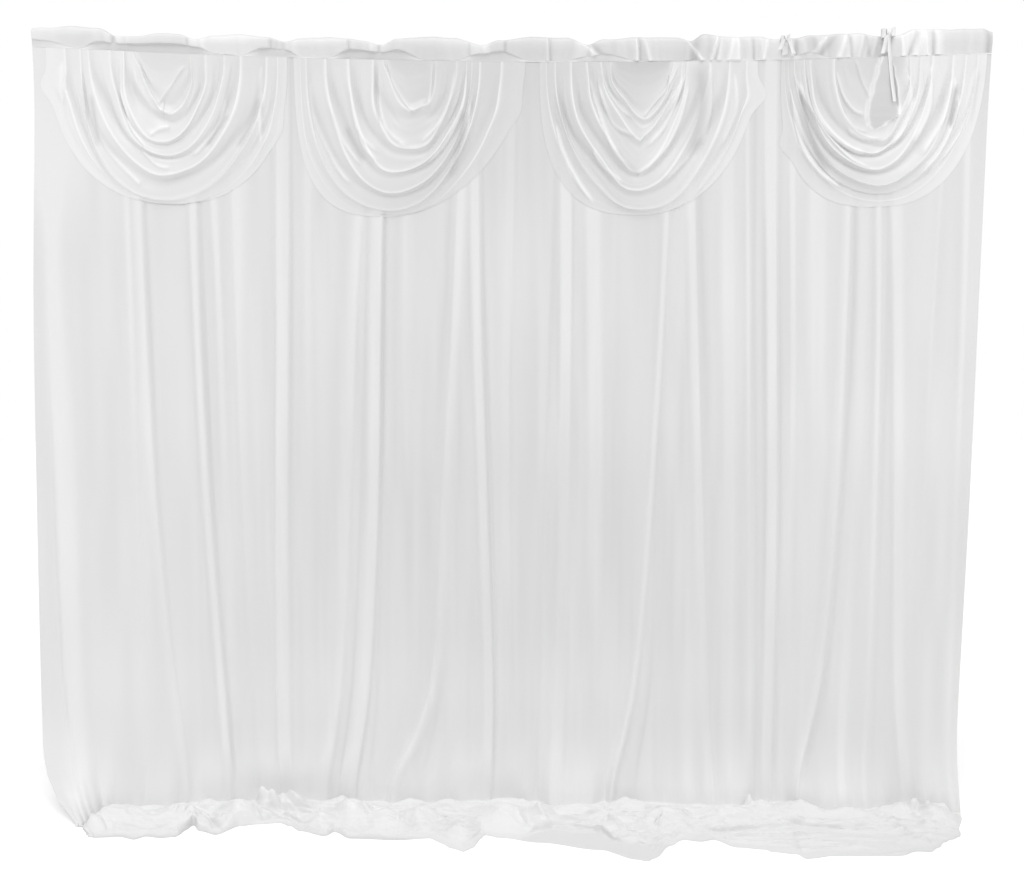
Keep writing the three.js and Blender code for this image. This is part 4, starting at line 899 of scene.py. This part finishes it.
def swag_folds(rows_of, crest, turn, fall, rng):
    """The crests and the hollows between them.

    Returns how far each point stands out, how far it hangs over, how deep the hollow is there, and
    how near to a crest it is, from 0 to 1, weighted by the crest's height, for the painted highlight
    along it.
    """
    side, lowness = np.cos(math.pi * turn), np.sin(math.pi * turn)
    last = len(rows_of["drop"]) - 1
    above = np.minimum(np.floor(crest).astype(int), last - 1)
    share = crest - above
    hollow_low = np.where(above == 0, VALLEY["first"], VALLEY["low"])
    hollow = mix(VALLEY["side"], hollow_low, lowness ** 1.5)
    inner = share < hollow
    near = np.where(inner, above, above + 1)
    slope = np.where(inner, 1 - share / hollow, (share - hollow) / (1 - hollow))

    def stand_of(row):
        at_side = np.where(side > 0, rows_of["out_left"][row], rows_of["out_right"][row])
        return STAND_SCALE * side_to_low(dict(side=at_side, low=rows_of["out_low"][row]), lowness)

    gaps = {key: np.abs(np.diff(rows_of[key]))[above] for key in ("left", "right", "drop")}
    at_side = np.where(side > 0, gaps["left"], gaps["right"])
    room = side_to_low(dict(side=at_side, low=gaps["drop"]), lowness) / ROOM_NEEDED
    grown = mix(PLEAT_SHARE, 1, smooth(fall / PLEAT_DROP)) * np.clip(room, ROOM_LEAST["crest"], 1)
    fade = 1 + FADE["share"] * rumple(rng, turn / FADE["spacing"], near * FADE["rows"], 1, 1)
    relief = stand_of(near) * fade * slope ** side_to_low(FOLD_SHARPNESS, lowness) * grown
    sink = side_to_low(SINK, lowness) * stand_of(above + 1) * grown
    sink = sink * np.exp(-((share - hollow) / SINK_WIDE) ** 2)
    ripple = np.zeros_like(crest)
    for row in RIPPLES:
        lines = wander(rng, crest, row["spacing"])
        swell = 1 + RIPPLE_SWELL["share"] * wander(rng, turn, RIPPLE_SWELL["spacing"])
        ripple += row["high"] * side_to_low(row, lowness) * lines * swell
    ripple *= smooth(fall / RIPPLE_DROP) * smooth((last - crest) * 2)
    ripple *= np.clip(room, ROOM_LEAST["ripple"], 1)
    droop = HANG_OVER["by"] * smooth(lowness * HANG_OVER["over"] - HANG_OVER["side"])
    droop = droop * slope ** HANG_OVER["slope"] * smooth(crest) * smooth((last - crest - 0.5) / 2)
    # a painted highlight along each crest, stronger on the high crests
    edge = np.exp(-((1 - slope) / CREST_HIGHLIGHT["wide"]) ** 2)
    edge = edge * smooth(stand_of(near) / CREST_HIGHLIGHT["full"]) * np.sqrt(grown)
    return relief - sink + ripple, droop, sink, edge


def swag_grid(name, seed):
    """A swag's points, crest by crest from the inner edge to the hem, and how gathered each is, with its
    painted light and shade.
    """
    rng = np.random.default_rng(seed)
    rows_of = dict(zip(SWAG_COLUMNS, np.array(SWAGS[name], float).T))
    last = len(SWAGS[name]) - 1
    crest = np.concatenate([np.linspace(0, 1, MIDDLE_STEPS + 1)[:-1],
                            np.linspace(1, last, (last - 1) * CREST_STEPS + 1)])[:, None]
    crest, turn = np.broadcast_arrays(crest, np.linspace(0, 1, SWAG_TURNS + 1)[None, :])
    x, fall = swag_outline(name, rows_of, crest, turn, rng)
    stand, droop, sink, edge = swag_folds(rows_of, crest, turn, fall, rng)
    z = seam_height(x) - fall - droop
    drop = seam_height(x) - z
    belly = SWAG_BELLY * smooth(fall / rows_of["drop"].max() * BELLY_FULL)
    belly = belly * mix(1, HEM_BELLY, toward_hem("belly", crest, last))
    forward = mix(SWAG_STAND, HEM_STAND, toward_hem("stand", crest, last)) + belly + stand
    lifted, sunk = np.zeros_like(x), np.zeros_like(x)
    for crease in SWAG_CREASES[name]:
        height = crease_height(crease, "drop", x, drop)
        lifted, sunk = np.maximum(lifted, height), np.minimum(sunk, height)
    forward = forward + CREASE_SCALE * lifted + sunk
    inset = np.full_like(x, -np.inf)
    if name == BUNCHED:
        left, right, out = (along(BUNCH, "drop", drop, key) for key in ("left", "right", "out"))
        inset = np.minimum(x - left, right - x)
        forward = forward + out * smooth(inset / BUNCH_EDGE + 0.5)
    behind, hem = panel_relief(x, z), toward_hem("hem", crest, last)
    clear = behind + mix(SWAG_CLEAR["face"], SWAG_CLEAR["hem"], hem)
    ease = mix(CLEAR_EASE["face"], CLEAR_EASE["hem"], hem)
    ahead = np.clip((mix(forward, behind, hem) - clear) / ease, -30, 30)
    forward = clear + np.log1p(np.exp(ahead)) * ease

    # The colour paints light: each swag's faces are lighter or darker as painted light from the side
    # falls on them, crests, raised creases and the flap's edges get a painted highlight, and the hollows,
    # sunk creases and the flap's front get painted shade. The hem is lighter as a doubled layer.
    swag_face_light, hollow = SWAG_FACE_LIGHT[name], SATIN_LAYERS_AND_SHADE["hollow"]
    face = mix(swag_face_light["right"], swag_face_light["left"], smooth((np.cos(math.pi * turn) + 1) / 2))
    layers_and_shade = mix(face, SATIN_LAYERS_AND_SHADE["crest"], edge)
    layers_and_shade += (1 - layers_and_shade) * np.clip((lifted - RAISED_HIGHLIGHT["start"]) / RAISED_HIGHLIGHT["over"], 0, RAISED_HIGHLIGHT["most"])
    layers_and_shade = mix(layers_and_shade, hollow, np.clip(sink / SINK_SHADE_FULL, 0, 1))
    layers_and_shade = mix(swag_face_light["middle"], layers_and_shade, smooth(crest * MIDDLE_EASE))
    flap = smooth((BUNCH[-1]["drop"] - drop) / BUNCH_FOOT)
    layers_and_shade = mix(layers_and_shade, BUNCH_SHADE, flap * smooth(inset / BUNCH_EDGE))
    layers_and_shade = mix(layers_and_shade, 1, flap * np.exp(-(inset / BUNCH_EDGE) ** 2))
    layers_and_shade = mix(layers_and_shade, hollow, np.clip(-sunk / SUNK_SHADE_FULL, 0, 1))
    at_hem = toward_hem("layers", crest, last)
    layers_and_shade = mix(layers_and_shade, face + SATIN_LAYERS_AND_SHADE["hem_more"], at_hem)
    return np.stack([x, -forward, z], axis=-1), layers_and_shade


for number, name in enumerate(SWAGS):
    points, layers = swag_grid(name, number)
    swag = grid_mesh(f"{name}_cloth", [points], layers, satin)
    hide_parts(name)
    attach(swag, "root")

# ---------------------------------------------------------------- the pole pocket
# Places along the pocket: its height there, how far its front puffs out, how far the puff droops
# over the flat band above the seam, how deep its puckers are, and how gathered the cloth is.
POCKET = table("x high puff droop pucker layers", [
    (-1500, 58, 2, 0.2, 0.12, 0.6), (-1460, 60, 5, 0.3, 0.12, 0.6), (-1355, 70, 16, 1, 0.12, 0.5),
    (-1290, 66, 10, 0.2, 0.2, 0.5), (-1237, 47, 0, 0, 1, 0.6), (-1180, 48, 5, 0, 0.2, 0.5),
    (-1100, 60, 10, 0, 0.12, 0.5), (-1040, 60, 9, 0, 0.12, 0.5), (-989, 47, 0, 0, 0.8, 0.6),
    (-930, 60, 12, 0.9, 0.12, 0.65), (-850, 66, 16, 1, 0.12, 0.65), (-775, 62, 10, 0.1, 0.16, 0.55),
    (-708, 48, 0, 0, 1, 0.5), (-660, 60, 13, 0.9, 0.16, 0.55), (-580, 66, 16, 1, 0.16, 0.55),
    (-500, 62, 10, 0, 0.16, 0.5), (-407, 48, 0, 0, 1, 0.5), (-360, 66, 8, 0, 0.2, 0.45),
    (-270, 74, 16, 1, 0.12, 0.42), (-180, 72, 13, 1, 0.16, 0.5), (-90, 50, 0, 0, 0.8, 0.5),
    (-40, 66, 8, 0, 0.12, 0.4), (60, 76, 10, 1, 0.12, 0.35), (170, 76, 9, 1, 0.2, 0.4),
    (235, 54, 2, 0.4, 0.8, 0.5), (290, 70, 8, 0.3, 0.16, 0.42), (400, 76, 6, 1, 0.8, 0.42),
    (510, 76, 5, 1, 0.16, 0.4), (556, 64, 2, 1, 0.6, 0.3), (600, 84, 8, 1, 0.6, 0.35),
    (660, 76, 5, 1, 0.8, 0.55), (770, 74, 5, 1, 0.9, 0.55), (826, 66, 0, 1, 0.4, 0.5),
    (878, 66, 0, 0.7, 0.6, 0.4), (930, 74, 6, 0.4, 1, 0.4), (1000, 76, 6, 1, 0.7, 0.45),
    (1080, 78, 6, 1, 1, 0.6), (1145, 66, 0, 1, 0.8, 0.5), (1197, 66, 0, 1, 0.8, 0.6),
    (1260, 84, 6, 1, 1, 0.8), (1320, 84, 6, 1, 0.8, 0.7), (1380, 80, 6, 1, 0.2, 0.45),
    (1470, 78, 3, 1, 0.3, 0.45), (1500, 66, 0, 1, 0.2, 0.3),
])
# The pocket's cross-section, from the seam up the front, over the top and down the back. The puff
# hangs over a flat band above the seam. `level` is a share of the band's height in `of` band rows,
# and of the rest of the pocket's height in the others.
SECTION = table("depth puff of level flush", [
    (-15.4, 0, "band", 0, 0), (-15.6, 0, "band", 0.5, 0), (-16, 0, "band", 0.92, 0),
    (-18, 0.8, "band", 0.96, 1), (-20, 1, "rest", 0.12, 0.85), (-21, 0.9, "rest", 0.55, 0),
    (-19, 0.6, "rest", 0.9, 0), (-9, 0.2, "rest", 1, 0), (8, 0, "rest", 0.98, 0), (19, 0, "rest", 0.8, 0),
    (20, 0, "rest", 0.2, 0), (14, 0, "band", 0, 0),
])
LIP_FLUSH = -16            # where the puff droops to the seam, it meets the swag flush
PUFF_SCALE = 0.55          # on how far every puff stands out
PUFF_LAYERS = 0.06         # the puffs are this much more gathered than their table says
BAND = dict(slack=0.04, flat=0.5)    # the band's share of the pocket's height
SEAM_GAP = 0.3             # the pocket stands this far above the seam
POCKET_STEP = 3            # between the mesh's stations
SECTION_STEPS = 66         # and its rows round the section
# each pucker's `layers` paints a highlight on its ridges and shade in its hollows
PUCKERS = table("spacing high layers", [(26, 5.5, 0.2), (11, 3, 0.14)])
PUCKERED = dict(start=1.5, over=2, end=7.5, back=3)      # the rows of the section that pucker
SLANT = dict(spacing=180, wide=26, level=70)             # and how far the puckers lean, over a height
CREASE_SIDE = 1.5          # how squarely a single crease falls away
TOP_WANDER = dict(row=7, rows=2.5, spacing=30, high=1.5)    # the top of the pocket is uneven
BAND_ROWS = dict(start=0.4, end=3.1, over=0.5)           # the rows of the flat band
SHELL = 22                 # half of the pocket's depth, for the strap that lies round it
# Single creases of the pocket, from the seam to its top: ridges, or hollows with a height below 0.
POCKET_CREASES = table("foot top high wide", [
    (-1248, -1244, -5, 5), (-1012, -1014, -5, 4), (-754, -750, -5, 5), (-508, -510, -4, 4),
    (-414, -416, -5, 4), (-134, -132, -4, 4), (-24, -20, -5, 5), (112, 110, 5, 4), (121, 118, -4, 5),
    (280, 205, 6, 9), (300, 232, -5, 12), (392, 388, 6, 4), (402, 398, -6, 5), (432, 412, 6, 7),
    (562, 570, -3, 12), (596, 540, 9, 6), (622, 640, 9, 5), (634, 652, -5, 5), (676, 690, 5, 6),
    (712, 704, 6, 5), (757, 752, -6, 5), (786, 800, 6, 5), (878, 868, 7, 5), (890, 884, -6, 6),
    (930, 985, 8, 7), (950, 1015, -5, 14), (1020, 1042, 8, 9), (1064, 1052, -6, 5), (1085, 1098, 6, 5),
    (1120, 1104, -3, 6), (1222, 1215, 7, 6), (1240, 1262, -6, 6), (1262, 1282, 7, 6), (1300, 1290, 7, 5),
    (1318, 1312, -7, 5), (1488, 1486, -5, 8),
])
CREASE_LIGHT_AND_SHADE = 0.07       # a painted highlight on a ridge, or painted shade in a hollow, this strong for each mm of its height


def pocket_section(x, grow=0):
    """The pocket's section at each x, as depths and heights in rows from the front seam."""
    high, puff, droop = (along(POCKET, "x", x, name) for name in ("high", "puff", "droop"))
    band = mix(BAND["flat"], BAND["slack"], droop)
    depth, height = [], []
    for row in SECTION:
        front = row["depth"] - row["puff"] * PUFF_SCALE * puff
        depth.append(mix(front, LIP_FLUSH, droop * row["flush"]))
        height.append(high * (row["level"] * band if row["of"] == "band" else mix(band, 1, row["level"])))
    place = np.linspace(0, len(SECTION) - 1, SECTION_STEPS + 1)[:, None]
    depth, height = curve_at(depth, place), curve_at(height, place)
    depth = depth * (1 + grow / SHELL)
    height = height + grow * smooth(height / high * 2 - 1)
    return place, depth, seam_height(x) + SEAM_GAP + height


def pocket_grid():
    """The pocket's points: one row from front seam to back seam at each station along it."""
    x = np.arange(-HALF_WIDTH, HALF_WIDTH + 1, POCKET_STEP, dtype=float)
    place, y, z = pocket_section(x)
    rng = np.random.default_rng(11)
    front = smooth((place - PUCKERED["start"]) / PUCKERED["over"])
    front = front * smooth((PUCKERED["end"] - place) / PUCKERED["back"])
    level = (z - seam_height(x)) / SLANT["level"]
    slant = x[None, :] + SLANT["wide"] * (level - 0.5) * wander(rng, x, SLANT["spacing"])[None, :]
    depth = along(POCKET, "x", x, "pucker")
    fold_light_and_layers = np.zeros_like(y)
    for row in PUCKERS:
        pucker = depth * front * wander(rng, slant, row["spacing"], knots=700)
        y = y - row["high"] * pucker
        fold_light_and_layers += row["layers"] * pucker
    for crease in POCKET_CREASES:
        line = mix(crease["foot"], crease["top"], np.clip(level, 0, 1))
        shape = front * np.exp(-np.abs((x[None, :] - line) / crease["wide"]) ** CREASE_SIDE)
        y = y - crease["high"] * shape
        fold_light_and_layers += CREASE_LIGHT_AND_SHADE * crease["high"] * shape
    at_top = smooth(1 - np.abs(place - TOP_WANDER["row"]) / TOP_WANDER["rows"])
    z = z + TOP_WANDER["high"] * at_top * wander(rng, x, TOP_WANDER["spacing"])
    droop = along(POCKET, "x", x, "droop")
    # painted shade on the flat band under the puffs, and a painted highlight along the seam where the
    # puff droops to it
    band = smooth(place / BAND_ROWS["start"]) * smooth((BAND_ROWS["end"] - place) / BAND_ROWS["over"])
    band = band * (1 - smooth(droop * 1.6))
    layers = mix(along(POCKET, "x", x, "layers") + PUFF_LAYERS, SATIN_LAYERS_AND_SHADE["band"], band) + fold_light_and_layers
    layers = mix(layers, SATIN_LAYERS_AND_SHADE["seam"], smooth(droop * 2 - 1) * smooth(1 - place / 2.5))
    return np.stack([np.broadcast_to(x, y.shape), y, z], axis=-1)[::-1], layers[::-1]


pocket_points, pocket_layers = pocket_grid()
pocket = grid_mesh("pole_pocket_cloth", [pocket_points], pocket_layers, satin)
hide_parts("pole_pocket")
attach(pocket, "root")

# ---------------------------------------------------------------- the ties
# Each is one ribbon: a strap round the pocket, a knot with two small loops, and two free ends.
TIES = {
    "tie_1": dict(x=852, size=0.62, level=0.98, flat=(0.018, 0.3), ends=[
        dict(side=-9, width=12, lean=-10, length=34), dict(side=9, width=12, lean=16, length=46),
    ]),
    "tie_2": dict(x=1171, size=1, level=1.1, flat=(0.018, 0.5), ends=[
        dict(side=-8, width=12, lean=-10, length=62), dict(side=-1, width=10, lean=24, length=208),
    ]),
}
TIE_LAYERS = 0.8           # how gathered the ribbon is
STRAP_WIDTH = 18
STRAP_CLEAR = 5            # between the ribbon and the middle of the pocket's cloth
STRAP_FOOT = 14            # the strap's ends stop this far above the seam
KNOT = dict(forward=27, loop=20, loop_deep=9, loop_high=14, pinch=8, wrap=12, wrap_wide=14)
END_FRONT = dict(top=-38, foot=-36)       # where a free end hangs
END_BOW = 1.5              # and it leans aside more toward its foot
END_TWIST = dict(angle=0.5, turns=3.2, tip=0.08)       # and twists as it hangs
END_PINCH = 0.6            # its width where it leaves the knot, as a share of the rest
ACROSS = np.linspace(-1, 1, 7)            # across every ribbon
LOOP_TURN = np.linspace(0, 2 * math.pi, 25)            # along a loop
WRAP_TURN = np.linspace(-1.9, 1.9, 17)    # along the band that binds the loops
END_SHARE = np.linspace(0, 1, 25)         # along a free end


def ribbon(path, half_width, dish=1.2):
    """A strip of ribbon along a path, its edges `half_width` to each side and curling forward."""
    curl = np.zeros((len(path), len(ACROSS), 3))
    curl[..., 1] = -dish * ACROSS ** 2
    return path[:, None, :] + ACROSS[None, :, None] * half_width[:, None, :] + curl


def strap_grid(x):
    """The band round the pocket, from its front foot over the top to its back foot."""
    _, depth, height = pocket_section(x + ACROSS * STRAP_WIDTH / 2, grow=STRAP_CLEAR)
    above = height.mean(axis=1) > seam_height(x) + STRAP_FOOT
    columns = np.broadcast_to(x + ACROSS * STRAP_WIDTH / 2, depth.shape)
    return np.stack([columns, depth, height], axis=-1)[above][::-1]


def knot_grids(x, middle, size):
    """Two small loops, and the short band that binds them."""
    grids = []
    knot = {key: value * size for key, value in KNOT.items() if key != "forward"}
    out = (1 - np.cos(LOOP_TURN)) / 2
    for side in (-1, 1):
        path = np.stack([x + side * (2 + knot["loop"] * out),
                         -KNOT["forward"] - knot["loop_deep"] * np.sin(LOOP_TURN),
                         middle + 3 * side * out], axis=-1)
        half = np.zeros_like(path)
        half[:, 2] = mix(knot["pinch"], knot["loop_high"], smooth(out * 1.4))
        grids.append(ribbon(path, half))
    path = np.stack([np.full_like(WRAP_TURN, x), -KNOT["forward"] - knot["wrap"] * np.cos(WRAP_TURN),
                     middle + knot["wrap"] * np.sin(WRAP_TURN)], axis=-1)
    half = np.zeros_like(path)
    half[:, 0] = knot["wrap_wide"] / 2
    return grids + [ribbon(path, half)]


def end_grid(x, middle, side, width, lean, length):
    """A free end: it leaves the knot, turns down and hangs with a slight twist."""
    share = END_SHARE
    path = np.stack([x + side * smooth(share * 5) + lean * share ** END_BOW,
                     mix(END_FRONT["top"], END_FRONT["foot"], smooth(share * 1.2)),
                     middle - 3 - length * share], axis=-1)
    twist = END_TWIST["angle"] * np.sin(END_TWIST["turns"] * share) * np.sign(side)
    half = np.stack([np.cos(twist), np.sin(twist), END_TWIST["tip"] * share], axis=-1)
    half_width = width / 2 * mix(END_PINCH, 1, smooth(share * 4))
    return ribbon(path, half * half_width[:, None], dish=2)


for name, tie in TIES.items():
    high = along(POCKET, "x", tie["x"], "high")
    middle = seam_height(tie["x"]) + high * tie["level"]
    grids = [strap_grid(tie["x"]), *knot_grids(tie["x"], middle, tie["size"])]
    grids += [end_grid(tie["x"], middle, **end) for end in tie["ends"]]
    layers = np.concatenate([np.full(grid.shape[0] * grid.shape[1], TIE_LAYERS) for grid in grids])
    bow = grid_mesh(f"{name}_ribbon", grids, layers, satin)
    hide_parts(name)
    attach(bow, "root")

# ---------------------------------------------------------------- stage, light and camera
FLOOR_LEVEL = -POLE_HEIGHT * MM
EYE = (0, -4.1, -0.88)     # 4.1 m in front of the curtain, 1.54 m above the floor
EYE_TILT = 85              # degrees from straight down
LENS = 44.9
FLOOR_HALF = 14            # half of the floor's side, in metres
FLOOR_GLOW = 0.13          # the studio's floor is lit from below, so the shadows on it are faint
SKY = dict(seen=1.0, lights=0.51)         # the plain white studio, and the soft light that it gives
SUN = dict(watts=1.78, up=60, spread=50)  # a large soft light in front, above
SIDE_LIGHTS = [            # a soft box at each side
    dict(name="left_box", at=(-3.0, -1.9, 0.3), aim=(-0.9, 0, -0.9), size=(1.4, 2.0), watts=7),
    dict(name="right_box", at=(3.0, -1.9, 0.3), aim=(0.9, 0, -0.9), size=(1.4, 2.0), watts=8),
]


def stage_material():
    material = bpy.data.materials.new("stage_white")
    material.use_nodes = True
    set_inputs(material.node_tree.nodes["Principled BSDF"], {
        "Base Color": (0.95, 0.95, 0.95, 1), "Roughness": 0.9, "Specular IOR Level": 0.1,
        "Emission Color": (1, 1, 1, 1), "Emission Strength": FLOOR_GLOW,
    })
    return material


floor_mesh = bpy.data.meshes.new("floor")
corners = [(-1, -1), (1, -1), (1, 1), (-1, 1)]
floor_mesh.from_pydata([(FLOOR_HALF * x, FLOOR_HALF * y, FLOOR_LEVEL) for x, y in corners],
                       [], [(0, 1, 2, 3)])
floor_mesh.materials.append(stage_material())
floor = add_object("floor", floor_mesh)

world = bpy.data.worlds.new("studio")
bpy.context.scene.world = world
world.use_nodes = True


def studio_nodes(nodes, links):
    """The camera sees a white background, and the objects get its weaker light."""
    seen, lights = nodes["Background"], nodes.new("ShaderNodeBackground")
    for shader, key in ((seen, "seen"), (lights, "lights")):
        set_inputs(shader, {"Color": (1, 1, 1, 1), "Strength": SKY[key]})
    ray, both = nodes.new("ShaderNodeLightPath"), nodes.new("ShaderNodeMixShader")
    links.new(ray.outputs["Is Camera Ray"], both.inputs[0])
    links.new(lights.outputs[0], both.inputs[1])
    links.new(seen.outputs[0], both.inputs[2])
    links.new(both.outputs[0], nodes["World Output"].inputs["Surface"])


studio_nodes(world.node_tree.nodes, world.node_tree.links)

lamp = bpy.data.lights.new("sun", "SUN")
lamp.energy, lamp.angle = SUN["watts"], math.radians(SUN["spread"])
sun = add_object("sun", lamp)
sun.rotation_euler = (math.radians(90 - SUN["up"]), 0, 0)

for row in SIDE_LIGHTS:
    lamp = bpy.data.lights.new(row["name"], "AREA")
    lamp.shape = "RECTANGLE"
    lamp.size, lamp.size_y = row["size"]
    lamp.energy = row["watts"]
    box = add_object(row["name"], lamp)
    box.location = row["at"]
    across, along_y, up = (aim - at for aim, at in zip(row["aim"], row["at"]))
    tilt = math.atan2(math.hypot(across, along_y), -up)
    box.rotation_euler = (tilt, 0, math.atan2(along_y, across) - math.pi / 2)

camera_data = bpy.data.cameras.new("eye")
camera_data.lens = LENS
camera_data.sensor_width = 36
camera = add_object("eye", camera_data)
camera.location = EYE
camera.rotation_euler = (math.radians(EYE_TILT), 0, 0)
bpy.context.scene.camera = camera
bpy.context.scene.view_settings.view_transform = "Standard"
